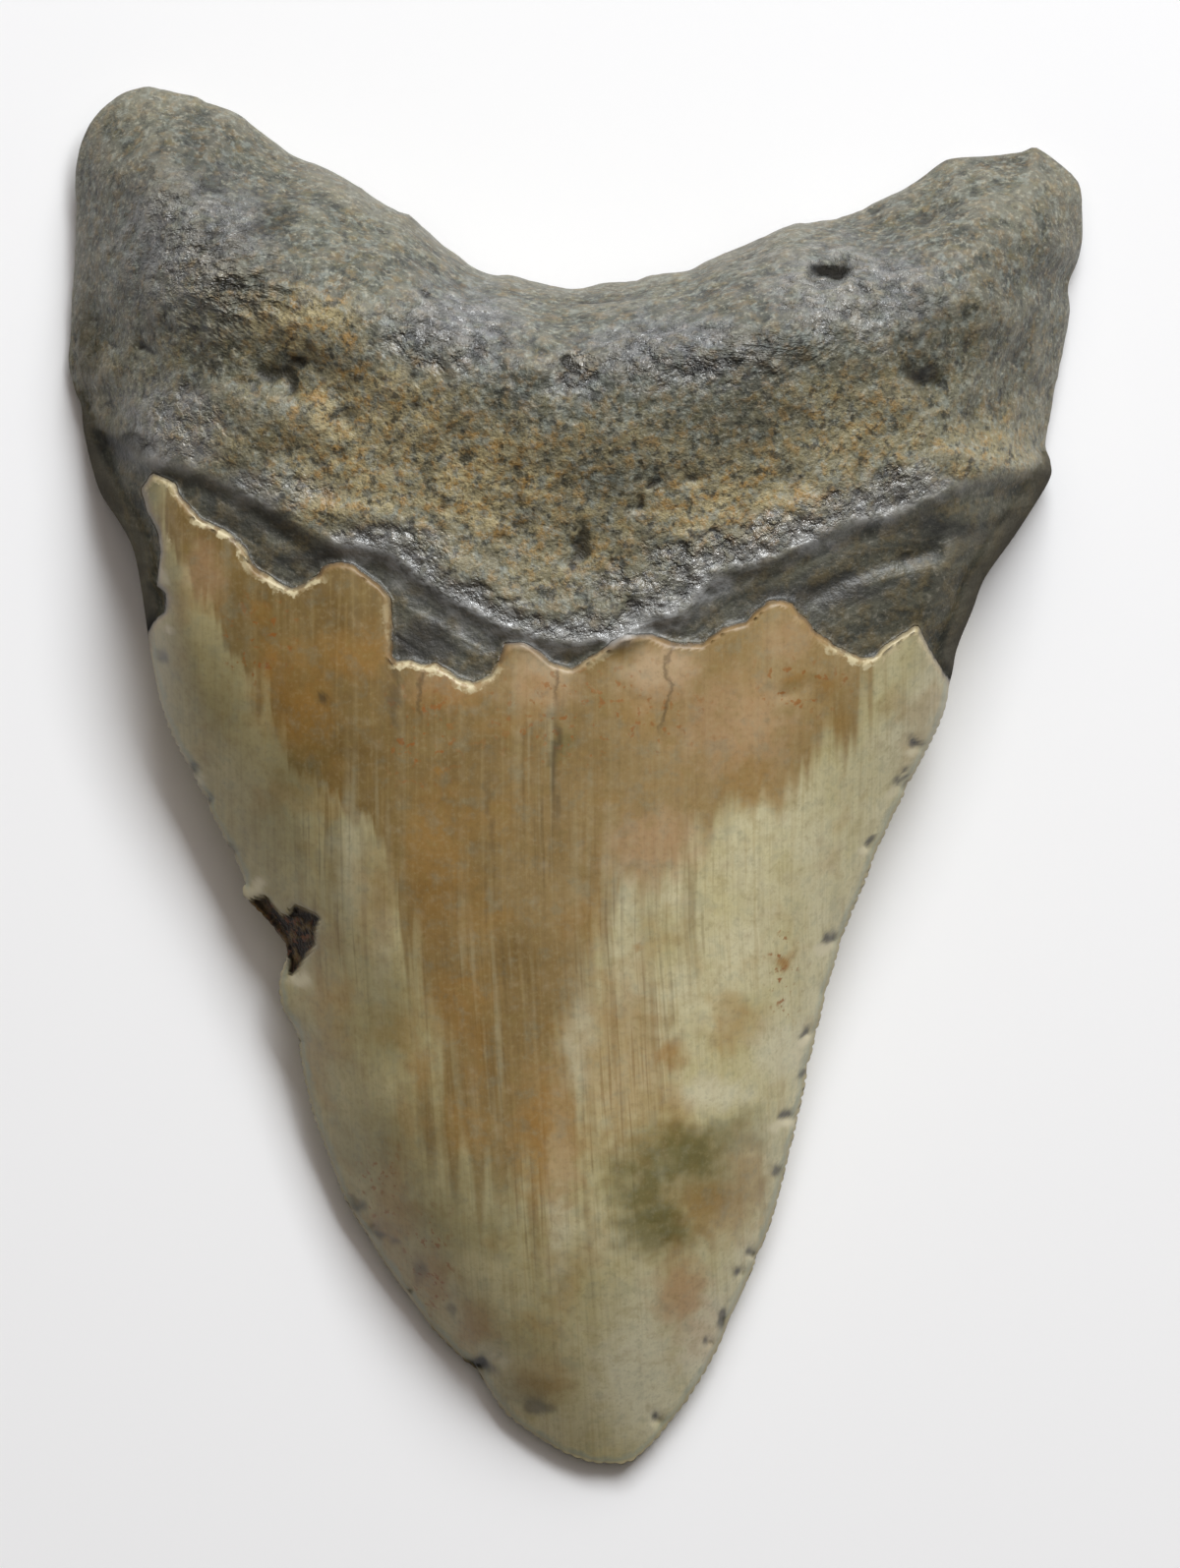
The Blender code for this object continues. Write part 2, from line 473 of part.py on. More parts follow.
def rim_numbers(rows, columns):
    """Vertex numbers of the outline on each side of the net, going once round it clockwise."""
    count = 2 * (rows + columns)
    left = np.arange(rows + 1)
    top = rows + np.arange(columns + 1)
    right = (rows + columns + np.arange(rows + 1))[::-1]
    tip = ((2 * rows + columns + np.arange(columns + 1)) % count)[::-1]
    return left, right, tip, top


def sheet_faces(rows, columns, stride, first, height):
    """Triangles of one sheet, whose inner vertices are numbered from first. Seen from above.

    Each cell is cut along the diagonal whose ends are nearer in height, so that a ledge stays whole.
    """
    left, right, tip, top = rim_numbers(rows, columns)
    m, n = rows // stride, columns // stride
    number = np.empty((m + 1, n + 1), int)
    number[1:-1, 1:-1] = first + np.arange((m - 1) * (n - 1)).reshape(m - 1, n - 1)
    number[:, 0], number[:, -1] = left[::stride], right[::stride]
    number[0], number[-1] = tip[::stride], top[::stride]
    a, b = number[1:-2, 1:-2].ravel(), number[1:-2, 2:-1].ravel()
    c, d = number[2:-1, 2:-1].ravel(), number[2:-1, 1:-2].ravel()
    level = np.abs(height[a] - height[c]) <= np.abs(height[b] - height[d])
    faces = [np.column_stack([a, b, np.where(level, c, d)]),
             np.column_stack([np.where(level, a, b), c, d])]
    faces += side_fans(number[1:-1, 1], left, stride, False)
    faces += side_fans(number[1:-1, -2], right, stride, True)
    faces += side_fans(number[1, 1:-1], tip, stride, True)
    faces += side_fans(number[-2, 1:-1], top, stride, False)
    return np.vstack(faces)


def side_fans(inner, rim, stride, flip):
    """Fans from the line of inner vertices to one side of the outline, corner to corner."""
    last = len(inner) - 1
    steps = np.arange(len(rim) - 1)
    hub = inner[np.clip(steps // stride - 1, 0, last)]
    fans = np.column_stack([rim[steps], hub, rim[steps + 1]])
    turns = np.arange(last)
    links = np.column_stack([inner[turns], inner[turns + 1], rim[(turns + 2) * stride]])
    fans = [fans, links]
    return [f[:, ::-1] for f in fans] if flip else fans


def tooth_mesh():
    """The closed mesh, centred: outline vertices, then the front sheet's, then the back sheet's.

    Also the numbers of the front sheet's first vertex and the back sheet's.
    """
    left, right, tip, top = outline_sides()
    rows, columns = len(left) - 1, len(tip) - 1
    rim_loop = np.vstack([left, top[1:], right[::-1][1:], tip[::-1][1:-1]])
    grid = net(left, right, tip, top)
    rim = np.column_stack([rim_loop * UNIT, rim_height(rim_loop)])
    front = sheet(grid, FRONT_STRIDE, front_height, rim_loop)
    back = sheet(grid, BACK_STRIDE, back_height, rim_loop)
    vertices = np.vstack([rim, front, back])
    vertices[:, :2] -= (rim[:, :2].min(0) + rim[:, :2].max(0)) / 2
    height = vertices[:, 2]
    front_faces = sheet_faces(rows, columns, FRONT_STRIDE, len(rim), height)
    back_faces = sheet_faces(rows, columns, BACK_STRIDE, len(rim) + len(front), height)
    faces = np.vstack([front_faces, back_faces[:, ::-1]])
    mesh = bpy.data.meshes.new("tooth")
    mesh.from_pydata(vertices.tolist(), [], faces.tolist())
    mesh.validate()
    return mesh, len(rim), len(rim) + len(front)


def fossil_material():
    """Fossilised tooth: dull grey-brown mineral, slightly polished."""
    material = bpy.data.materials.new("fossil tooth")
    material.use_nodes = True
    shader = material.node_tree.nodes["Principled BSDF"]
    shader.inputs["Base Color"].default_value = (0.235, 0.195, 0.130, 1.0)
    shader.inputs["Roughness"].default_value = 0.55
    shader.inputs["Metallic"].default_value = 0.0
    return material


mesh, front_start, back_start = tooth_mesh()
tooth = bpy.data.objects.new("tooth", mesh)
bpy.context.scene.collection.objects.link(tooth)
mesh.materials.append(fossil_material())
mesh.shade_smooth()
mesh.set_sharp_from_angle(angle=SHARP_ANGLE)

# Fewer triangles where the front is plain. The serrated edge and the flat back stay whole.
root_edge = [v.index for v in mesh.vertices[:front_start] if v.co.y > NECK_LEFT[1] * UNIT]
group = tooth.vertex_groups.new(name="front and root edge")
group.add(root_edge + list(range(front_start, back_start)), 1.0, "REPLACE")
thin = tooth.modifiers.new("fewer triangles", "DECIMATE")
thin.decimate_type = "COLLAPSE"
thin.ratio = TRIANGLE_SHARE
thin.vertex_group = group.name
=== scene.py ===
import bpy
import numpy as np
from mathutils import Euler, Matrix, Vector
from types import SimpleNamespace


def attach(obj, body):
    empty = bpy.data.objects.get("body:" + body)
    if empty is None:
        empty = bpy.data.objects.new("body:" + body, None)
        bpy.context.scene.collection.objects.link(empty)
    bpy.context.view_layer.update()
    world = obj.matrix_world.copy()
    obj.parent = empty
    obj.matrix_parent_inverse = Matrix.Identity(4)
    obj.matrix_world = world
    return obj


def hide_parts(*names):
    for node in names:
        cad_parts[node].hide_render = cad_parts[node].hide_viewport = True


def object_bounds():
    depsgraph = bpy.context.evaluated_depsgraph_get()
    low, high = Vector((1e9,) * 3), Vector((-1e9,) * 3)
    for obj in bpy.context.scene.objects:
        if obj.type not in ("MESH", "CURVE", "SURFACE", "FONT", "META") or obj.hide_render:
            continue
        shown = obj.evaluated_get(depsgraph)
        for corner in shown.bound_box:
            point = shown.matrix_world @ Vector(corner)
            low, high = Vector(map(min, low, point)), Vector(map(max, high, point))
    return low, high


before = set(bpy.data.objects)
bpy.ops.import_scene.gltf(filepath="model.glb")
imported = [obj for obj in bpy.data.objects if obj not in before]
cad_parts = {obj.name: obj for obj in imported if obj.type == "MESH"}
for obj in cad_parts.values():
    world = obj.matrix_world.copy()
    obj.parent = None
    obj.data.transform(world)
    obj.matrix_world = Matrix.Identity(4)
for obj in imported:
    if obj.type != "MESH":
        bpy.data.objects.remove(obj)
cad_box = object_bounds()

# ============================================================================ plan of the tooth
# The fossil is one piece, so it is one closed surface. Its plan is drawn in drawing units from
# the middle of its bounding box, clockwise from the tip. The frame's length gives the unit.
OUTLINE = [
    (3.5, -69.8), (1.3, -69.6), (-1.4, -68.5), (-4.2, -66.9), (-7, -64.6), (-8.8, -62.1),
    (-10.2, -60.2), (-13.4, -57.2), (-16.2, -53.8), (-18.7, -50.3), (-21, -46.6),
    (-23.4, -42.5), (-25.2, -37.8), (-26.6, -33.7), (-27.5, -29.8), (-28.2, -25.9),
    (-29.6, -23.4), (-29.8, -20.4), (-29, -17.6), (-30.5, -15.3), (-32.2, -13.4),
    (-33.6, -11.9), (-33.3, -10.7), (-34.5, -8.1), (-36.6, -3.9), (-38.3, -0.3),
    (-40, 2.9), (-41.7, 6.9), (-42.9, 12), (-43.6, 16.5), (-44.3, 20.8), (-45, 23.4),
    (-46.4, 25.9), (-48.1, 28.5), (-49.1, 31.5), (-49.9, 35), (-50.1, 37.6), (-50.8, 39.2),
    (-51.5, 42.2), (-51.2, 46), (-50.9, 51.5), (-50.6, 56.9), (-50.7, 61), (-50, 64.6),
    (-48.5, 67), (-46.5, 68.6), (-44.5, 69.4), (-43, 69.7), (-40.5, 69.2), (-38.4, 68.7),
    (-37.2, 68), (-34.5, 67.2), (-32.5, 65.7), (-30.5, 64.2), (-28.5, 62.8), (-25.5, 61.7),
    (-22.5, 60.1), (-18.5, 57.3), (-16.4, 56.3), (-12.5, 53), (-10.5, 51.5), (-8.4, 50.7),
    (-6.6, 50.6), (-4.5, 50), (-0.7, 49.2), (1.5, 49.4), (5.5, 49.9), (7.5, 50.5),
    (11.3, 51.2), (13.5, 52.3), (17.5, 53.8), (21.5, 55.7), (24.6, 56), (28.5, 57),
    (31.6, 58.5), (34.1, 60), (36.7, 61.9), (38.1, 62.6), (41.5, 62.8), (45, 63.2),
    (46.2, 63.7), (47.2, 63.5), (49.5, 61.7), (50.9, 60.1), (51.4, 57.1), (51.3, 53.1),
    (50.4, 50.7), (50.1, 49.3), (50.2, 46.7), (49.5, 43.2), (48.8, 40.4), (48.3, 36.4),
    (47.7, 33.5), (48.2, 31.7), (48, 29.8), (45, 25), (42.8, 21.9), (41.3, 19.6),
    (40.2, 16.6), (38.7, 13), (38.2, 10.6), (37.8, 9), (37.4, 6.8), (35.6, 2.8),
    (33.6, -1), (30.7, -6.9), (29, -11.1), (27.3, -15.3), (25.6, -21), (23.6, -29.1),
    (21.9, -36.9), (19.9, -44.8), (17.5, -51), (15.9, -54.7), (14, -58.8), (11.5, -63),
    (8.7, -66.7), (6.2, -69.2), (4.8, -69.8),
]
# Where one side of the net of lines ends and the next begins.
TIP_LEFT, NECK_LEFT, LOBE_LEFT = (-16.2, -53.8), (-42.9, 12.0), (-48.5, 67.0)
LOBE_RIGHT, NECK_RIGHT, TIP_RIGHT = (50.9, 60.1), (37.8, 9.0), (15.9, -54.7)
SERRATIONS_ALONG_BLADE = 76
SERRATIONS_AROUND_TIP = 40
RIM_STEPS_BLADE = 3 * SERRATIONS_ALONG_BLADE
RIM_STEPS_ROOT = 144
RIM_STEPS_ACROSS = 5 * SERRATIONS_AROUND_TIP
NET_ROUNDS = 390            # rounds of evening out the net
LINES_NEAR_RIM = 4          # net lines on each side that are drawn closer to the outline
NOISE_SLOPES = 4096         # slopes that the lattice of the noise draws on
NOISE_KEYS = np.array([73, 179, 283])       # spread the lattice over the slopes
NOISE_SHIFT, NOISE_GAIN = 50.0, 1.6


def smooth_curve(points, closed=False, steps=12):
    """A Catmull-Rom curve: each span is the cubic whose end slopes join the neighbouring points."""
    p = np.array(points, float)
    if closed:
        before, start, end, after = np.roll(p, 1, 0), p, np.roll(p, -1, 0), np.roll(p, -2, 0)
    else:
        padded = np.vstack([2 * p[0] - p[1], p, 2 * p[-1] - p[-2]])
        before, start, end, after = padded[:-3], padded[1:-2], padded[2:-1], padded[3:]
    t = (np.arange(steps) / steps)[None, :, None]
    before, start, end, after = (a[:, None, :] for a in (before, start, end, after))
    curve = 0.5 * (2 * start + (end - before) * t
                   + (2 * before - 5 * start + 4 * end - after) * t ** 2
                   + (3 * start - before - 3 * end + after) * t ** 3)
    curve = curve.reshape(-1, 2)
    return curve if closed else np.vstack([curve, p[-1]])


def stretch(loop, start, end, count):
    """The part of a closed loop between two places on it, as count equal steps along its length."""
    first = np.argmin(np.linalg.norm(loop - np.array(start), axis=1))
    loop = np.roll(loop, -first, axis=0)
    last = np.argmin(np.linalg.norm(loop - np.array(end), axis=1))
    part = loop[:last + 1]
    run = np.concatenate([[0], np.cumsum(np.linalg.norm(np.diff(part, axis=0), axis=1))])
    at = np.linspace(0, run[-1], count + 1)
    return np.column_stack([np.interp(at, run, part[:, 0]), np.interp(at, run, part[:, 1])])


def ease(share):
    """A smooth step from 0 to 1: three squares less two cubes."""
    share = np.clip(share, 0, 1)
    return share * share * (3 - 2 * share)


def unevenness(points, size, seed):
    """Gradient noise from about -1 to 1, in two or three dimensions, with lumps of this size.

    Each corner of a lattice has a random slope, and the slopes are blended with an eased weight.
    """
    ways = np.random.default_rng(seed).normal(size=(NOISE_SLOPES, points.shape[1]))
    ways /= np.linalg.norm(ways, axis=1)[:, None]
    at = points / size + NOISE_SHIFT * seed
    cell = np.floor(at).astype(int)
    part = at - cell
    weight = part ** 3 * (part * (6 * part - 15) + 10)
    total = np.zeros(len(points))
    for corner in np.ndindex(*(2,) * points.shape[1]):
        corner = np.array(corner)
        key = ((cell + corner) * NOISE_KEYS[:points.shape[1]]).sum(1) % NOISE_SLOPES
        share = np.where(corner == 1, weight, 1 - weight).prod(1)
        total += share * (ways[key] * (part - corner)).sum(1)
    return NOISE_GAIN * total


# The worn cutting edges. Serrations are pushed out along the edge, and chips are bitten into it:
# x, y, half-width and depth in drawing units.
SERRATION_DEPTH = 0.22
SERRATION_FADE = 12         # how fast they grow from the ends of an edge
WEAR_SIZE, WEAR_MIDDLE, WEAR_SWING, WEAR_RANGE = 3.0, 0.75, 0.55, (0.1, 1.2)
CHIPS = [
    (36.9, 7.5, 0.5, 0.3), (34.3, 3.1, 0.8, 0.5), (33.2, -1, 0.6, 0.3), (29.5, -7.1, 0.5, 0.4),
    (26.2, -16.3, 0.6, 0.5), (25, -21.8, 0.5, 0.3), (23.6, -25.9, 0.6, 0.5),
    (23.2, -29.4, 0.5, 0.3), (21.5, -34.6, 0.6, 0.4), (20.5, -39.9, 0.5, 0.3),
    (17.9, -48.6, 0.6, 0.5), (16.9, -50.4, 0.5, 0.4), (15.1, -55.2, 0.6, 0.5),
    (13.7, -57.5, 0.4, 0.4), (8.4, -65.4, 0.7, 0.5), (-38.3, 0.6, 0.5, 0.3),
    (-37, -2.4, 0.5, 0.3), (-34.6, -7.7, 0.4, 0.3), (-27.7, -26.8, 0.5, 0.3),
    (-22, -43.2, 0.5, 0.3), (-20.5, -45.6, 0.6, 0.4), (-16.6, -52.3, 0.5, 0.3),
    (-9.5, -59.9, 0.8, 0.6), (-3.9, -64.9, 0.8, 0.3),
]


def serrate(edge, count, seed):
    """A cutting edge with count scallops, each the height of half a sine, worn away in places."""
    share = np.linspace(0, 1, len(edge))
    along = np.gradient(edge, axis=0)
    outward = np.column_stack([-along[:, 1], along[:, 0]])
    outward /= np.linalg.norm(outward, axis=1)[:, None]
    worn = WEAR_MIDDLE + WEAR_SWING * unevenness(edge, WEAR_SIZE, seed)
    depth = SERRATION_DEPTH * np.clip(worn, *WEAR_RANGE) * np.abs(np.sin(np.pi * count * share))
    bite = np.zeros(len(edge))
    for x, y, width, deep in CHIPS:
        bite += deep * np.exp(-(((edge - (x, y)) ** 2).sum(1)) / width ** 2)
    return edge + outward * (depth * ease(SERRATION_FADE * share * (1 - share)) - bite)[:, None]


loop = smooth_curve(OUTLINE, closed=True)
blade_left = serrate(stretch(loop, TIP_LEFT, NECK_LEFT, RIM_STEPS_BLADE), SERRATIONS_ALONG_BLADE, 1)
root_left = stretch(loop, NECK_LEFT, LOBE_LEFT, RIM_STEPS_ROOT)
top = stretch(loop, LOBE_LEFT, LOBE_RIGHT, RIM_STEPS_ACROSS)
root_right = stretch(loop, LOBE_RIGHT, NECK_RIGHT, RIM_STEPS_ROOT)
blade_right = serrate(stretch(loop, NECK_RIGHT, TIP_RIGHT, RIM_STEPS_BLADE), SERRATIONS_ALONG_BLADE, 2)
tip = serrate(stretch(loop, TIP_RIGHT, TIP_LEFT, RIM_STEPS_ACROSS), SERRATIONS_AROUND_TIP, 3)[::-1]
left = np.vstack([blade_left, root_left[1:]])
right = np.vstack([root_right, blade_right[1:]])[::-1]
rim_loop = np.vstack([left, top[1:], right[::-1][1:], tip[::-1][1:-1]])
ROWS, COLUMNS = len(left) - 1, len(tip) - 1
UNIT = (cad_box[1][1] - cad_box[0][1]) / (rim_loop[:, 1].max() - rim_loop[:, 1].min())
MM = UNIT * 1000            # one drawing unit in millimetres


def net():
    """Crossings of the net: a Coons patch between the four sides, evened out by averaging."""
    v = np.linspace(0, 1, ROWS + 1)[:, None, None]
    u = np.linspace(0, 1, COLUMNS + 1)[None, :, None]
    corners = ((1 - u) * (1 - v) * left[0] + u * (1 - v) * right[0]
               + (1 - u) * v * left[-1] + u * v * right[-1])
    grid = ((1 - u) * left[:, None] + u * right[:, None]
            + (1 - v) * tip[None] + v * top[None] - corners)
    for _ in range(NET_ROUNDS):
        grid[1:-1, 1:-1] = 0.25 * (grid[:-2, 1:-1] + grid[2:, 1:-1]
                                   + grid[1:-1, :-2] + grid[1:-1, 2:])
    return grid


def towards_rim(count):
    """Line numbers 0 to count, with the first and last few moved towards the ends by a square."""
    line = np.arange(count + 1, dtype=float)
    near = np.minimum(line, count - line)
    moved = np.where(near < LINES_NEAR_RIM, near ** 2 / LINES_NEAR_RIM, near)
    return np.where(line < count / 2, moved, count - moved)


def at_lines(grid, lines):
    """The grid's rows at fractional row numbers."""
    low = np.minimum(np.floor(lines).astype(int), len(grid) - 2)
    share = (lines - low)[:, None, None]
    return grid[low] * (1 - share) + grid[low + 1] * share


net_grid = net()


def sheet_plan(stride):
    """The inner crossings of every stride-th line: plan point, u across, v from tip to root."""
    coarse = net_grid[::stride, ::stride]
    row_lines, column_lines = towards_rim(ROWS // stride), towards_rim(COLUMNS // stride)
    plan = at_lines(at_lines(coarse, row_lines).swapaxes(0, 1), column_lines).swapaxes(0, 1)
    inner = plan[1:-1, 1:-1].reshape(-1, 2)
    u = np.tile(column_lines[1:-1] * stride / COLUMNS, len(row_lines) - 2)
    v = np.repeat(row_lines[1:-1] * stride / ROWS, len(column_lines) - 2)
    return inner, u, v


# ============================================================================ enamel blade
# The crown is a triangular lens of enamel over dentine, 22 mm thick at the neck. The front's
# enamel ends in a broken edge that stands 1 mm above the dark band of bare dentine.
BLADE_HEIGHT = 0.0220
BLADE_SPINE = [(-70, 0.55), (-60, 0.58), (-50, 0.63), (-40, 0.69), (-30, 0.75), (-20, 0.82),
               (-10, 0.89), (0, 0.95), (10, 0.99), (20, 1.00), (45, 1.00), (70, 1.00)]
RIM_HEIGHT = [(-70, 0.0020), (-60, 0.0021), (-50, 0.0025), (-40, 0.0034), (-30, 0.0046),
              (-20, 0.0059), (-10, 0.0068), (0, 0.0070), (10, 0.0060), (20, 0.0040),
              (30, 0.0024), (40, 0.0017), (50, 0.0017), (60, 0.0024), (70, 0.0040)]
NOTCH_RIM_RISE = 0.0030
NOTCH_HALF_WIDTH, NOTCH_FROM, NOTCH_TO = 17.0, 34.0, 48.0
TIP_SHARE = 0.28
LENS_POWER = 2.8
ENAMEL_STEP = 0.0011
ENAMEL_CHAMFER = 0.6
STEP_AT_OUTLINE = 0.25      # share of the step that is left at the outline
LIP_TO_ROOT = 3.2           # half-width of the lip's upper side, where the bare band ends
SNAP_REACH = 0.17           # crossings nearer than this to the enamel's edge are moved onto it
ENAMEL_EDGE = np.array([
    (-60, 11.5), (-42.9, 12), (-42.8, 14.3), (-42.1, 15.3), (-40.9, 16.2), (-40.7, 18.4),
    (-41.7, 19.3), (-41.2, 22.3), (-41.5, 24.4), (-42.6, 26.5), (-43.2, 28.7), (-42.4, 29.9),
    (-40.5, 29.1), (-39.8, 27.6), (-37.7, 25.3), (-34.7, 23.9), (-33.5, 22.7), (-32.8, 21.2),
    (-32.2, 20.2), (-30.9, 19.6), (-29.5, 18.7), (-28.4, 18.3), (-26.9, 18.8), (-25.4, 19.8),
    (-25, 20.6), (-23.7, 20.9), (-22.3, 20.7), (-21.2, 19.8), (-19.7, 18.7), (-18.9, 17.7),
    (-18.7, 15.1), (-18.7, 12), (-18.3, 10.9), (-16.5, 11.1), (-15.3, 10.6), (-14, 10.7),
    (-12.7, 10), (-11.7, 9.2), (-10.1, 8.8), (-8.2, 9.7), (-7.2, 11.4), (-6.8, 12.7),
    (-5.3, 12.9), (-3.8, 12), (-2.4, 10.8), (-0.3, 10.2), (1.5, 11.4), (3.5, 12.6),
    (4.9, 13.5), (7.5, 13.7), (9.7, 12.8), (13, 12.7), (13.8, 13.6), (15, 14.4),
    (17.4, 15), (18, 15.8), (19.5, 17), (20.7, 17.1), (21.5, 16.8), (22.1, 15.9),
    (23.2, 15), (23.7, 14), (25, 13.3), (25.7, 12.6), (28.7, 11.3), (30.1, 11.5),
    (31.5, 12.8), (34.2, 14.5), (34.7, 13.5), (36.2, 11), (37.8, 9), (60, 8.5),
])
# Where the enamel has broken off the left cutting edge.
BREAK = np.array([
    (-33.5, -13.2), (-32.3, -12.6), (-31.2, -12.3), (-29.8, -14.1), (-28.8, -14.2), (-28.2, -13.2),
    (-27.3, -13.5), (-25.8, -14.3), (-26.3, -15.7), (-26.3, -17), (-27.3, -18.3), (-28.2, -19.7),
    (-28.9, -20.3), (-28.8, -18.6), (-29.6, -17.6), (-31.5, -16), (-33.5, -13.2)])
BREAK_DEPTH, BREAK_FROM, BREAK_TO, BREAK_FADE = 0.0009, -0.3, 0.2, 0.6
CHIP_BITE, CHIP_FADE = 0.9, 0.5
FAINT_LUMPS = [(6.0, 0.00005), (1.6, 0.00002)]      # size in drawing units, height in metres
# Dips in the enamel: x, y in drawing units, radius and depth in metres.
ENAMEL_DIPS = [
    (20.8, 8.1, 0.0007, 0.00016), (22.1, 8.5, 0.0008, 0.00018), (24.5, 7.6, 0.0009, 0.00014),
    (23.6, 9, 0.0008, 0.00012), (-25.4, 7.4, 0.0006, 0.0001), (-9.4, -59.7, 0.0012, 0.0007),
    (-7.7, -59, 0.0007, 0.0003),
    (-31.5, -22, 0.001, 0.0005), (-41.9, 17.2, 0.0012, 0.0007),
]


def between(value, start, end):
    """A smooth step from 0 at the start to 1 at the end."""
    return ease((value - start) / (end - start))


def profile(stations, at):
    """The value at each place, read from a smooth curve through (place, value) stations."""
    curve = smooth_curve(stations)
    return np.interp(at, curve[:, 0], curve[:, 1])


def rim_height(points):
    """Height of the outline above the table: a profile along y, raised between the lobes."""
    hollow = np.exp(-(points[:, 0] / NOTCH_HALF_WIDTH) ** 2)
    hollow *= between(points[:, 1], NOTCH_FROM, NOTCH_TO)
    return profile(RIM_HEIGHT, points[:, 1]) + NOTCH_RIM_RISE * hollow


def inward(u, v):
    """0 on the blade's outline and 1 along its middle: a power of the distance from the middle."""
    across = 1 - np.abs(2 * u - 1) ** LENS_POWER
    from_tip = 1 - (1 - np.clip(v / TIP_SHARE, 0, 1)) ** 2
    return across * from_tip


def blade_height(place):
    """Height of the lens: the rim's height plus a share of the way up to the spine."""
    spine = profile(BLADE_SPINE, place.points[:, 1]) * BLADE_HEIGHT
    return place.rim + (spine - place.rim) * inward(place.u, place.v)


def enamel_relief(place):
    """The broken edge drops away, and chips, dips and the break are hollowed out of the enamel."""
    x, y = place.points.T
    bare = ease(np.maximum(-place.enamel, 0) / ENAMEL_CHAMFER)
    band = bare * (1 - ease(np.maximum(place.lip, 0) / LIP_TO_ROOT))
    relief = -ENAMEL_STEP * band * (STEP_AT_OUTLINE + (1 - STEP_AT_OUTLINE) * place.inside)
    for spot_x, spot_y, radius, depth in ENAMEL_DIPS:
        gap = np.hypot(x - spot_x, y - spot_y) * UNIT
        relief -= depth * np.exp(-(gap / radius) ** 2)
    for chip_x, chip_y, width, depth in CHIPS:
        gap = np.hypot(x - chip_x, y - chip_y) / width
        relief -= CHIP_BITE * depth * UNIT * np.exp(-gap ** 2) * ease(place.outline / CHIP_FADE)
    broken = between(place.broken, BREAK_FROM, BREAK_TO)
    relief -= BREAK_DEPTH * broken * ease(place.outline / BREAK_FADE)
    faint = sum(height * unevenness(place.points, size, 4 + k)
                for k, (size, height) in enumerate(FAINT_LUMPS))
    return relief + faint * (place.enamel > 0)


# ============================================================================ root
# The root is spongy dentine, thick and two-lobed, with a crest from lobe to lobe. It is pitted
# by nutrient holes and by wear on the sea bed, and polished where it stands proud.
ROOT_HEIGHT = 0.0222
CREST_RISE = 0.0052
CREST_LINE = [
    (-43, 58), (-39, 53.5), (-32.5, 49.5), (-23.5, 46), (-15.5, 43), (-8.5, 40.5),
    (-0.5, 38.8), (6.5, 39.5), (16.5, 42.5), (26.5, 45.5), (33.5, 49.5), (41.5, 53.5),
    (46, 56.5),
]
CREST_TO_LOBES, CREST_TO_BLADE = 6.5, 13.0
HALF_WIDTH = 50.0
CREST_FALL, LOBE_FALL, LOBE_END_FALL = 0.45, 0.34, 0.16
SHOULDER_AT_BLADE, SHOULDER_AT_ROOT, SHOULDER_AT_LOBES = 5.0, 9.5, 15.0
SHOULDER_FROM, SHOULDER_TO = 20.0, 40.0
LOBE_FROM, LOBE_TO, LOBE_FOOT_FROM, LOBE_FOOT_TO = 18.0, 38.0, 22.0, 40.0
LOBE_END_FROM, LOBE_END_TO, LOBE_ROUNDING = 44.0, 68.0, 0.15
ROOT_FROM, ROOT_TO = -4.0, 24.0
EDGE_FADE = 2.0
# Smaller ridges and grooves: points, rise and half-width in metres.
RIDGES = [
    ([(-47, 40), (-41, 37), (-34, 36), (-27, 35)], 0.0008, 0.003),
    ([(-44, 43.5), (-37, 43.5), (-30, 40.5), (-24, 38.5)], -0.001, 0.003),
    ([(31.2, 55.3), (36.1, 56.8), (41, 58.8), (45.8, 60.2)], -0.0004, 0.0007),
    ([(-11.5, 50.8), (-6.5, 48.9), (0, 48), (6.5, 48.5), (13.5, 50.2), (19.5, 53),
      (24.5, 54.6)], -0.00045, 0.0006),
    ([(-38, 41), (-33, 39.6), (-29, 40.4), (-27.6, 38.2)], -0.0003, 0.0009),
    ([(-34, 52), (-30.5, 51), (-26, 52.5)], -0.0003, 0.0008),
    ([(-40, 50), (-36, 48.6), (-31, 49.4)], -0.0003, 0.0007),
    ([(4, 42.2), (5.2, 43.8), (6.8, 44), (8.2, 42.6)], 0.0005, 0.0006),
    ([(-3, 40), (-4.6, 41.6), (-3.4, 43.2)], 0.0004, 0.0006),
]
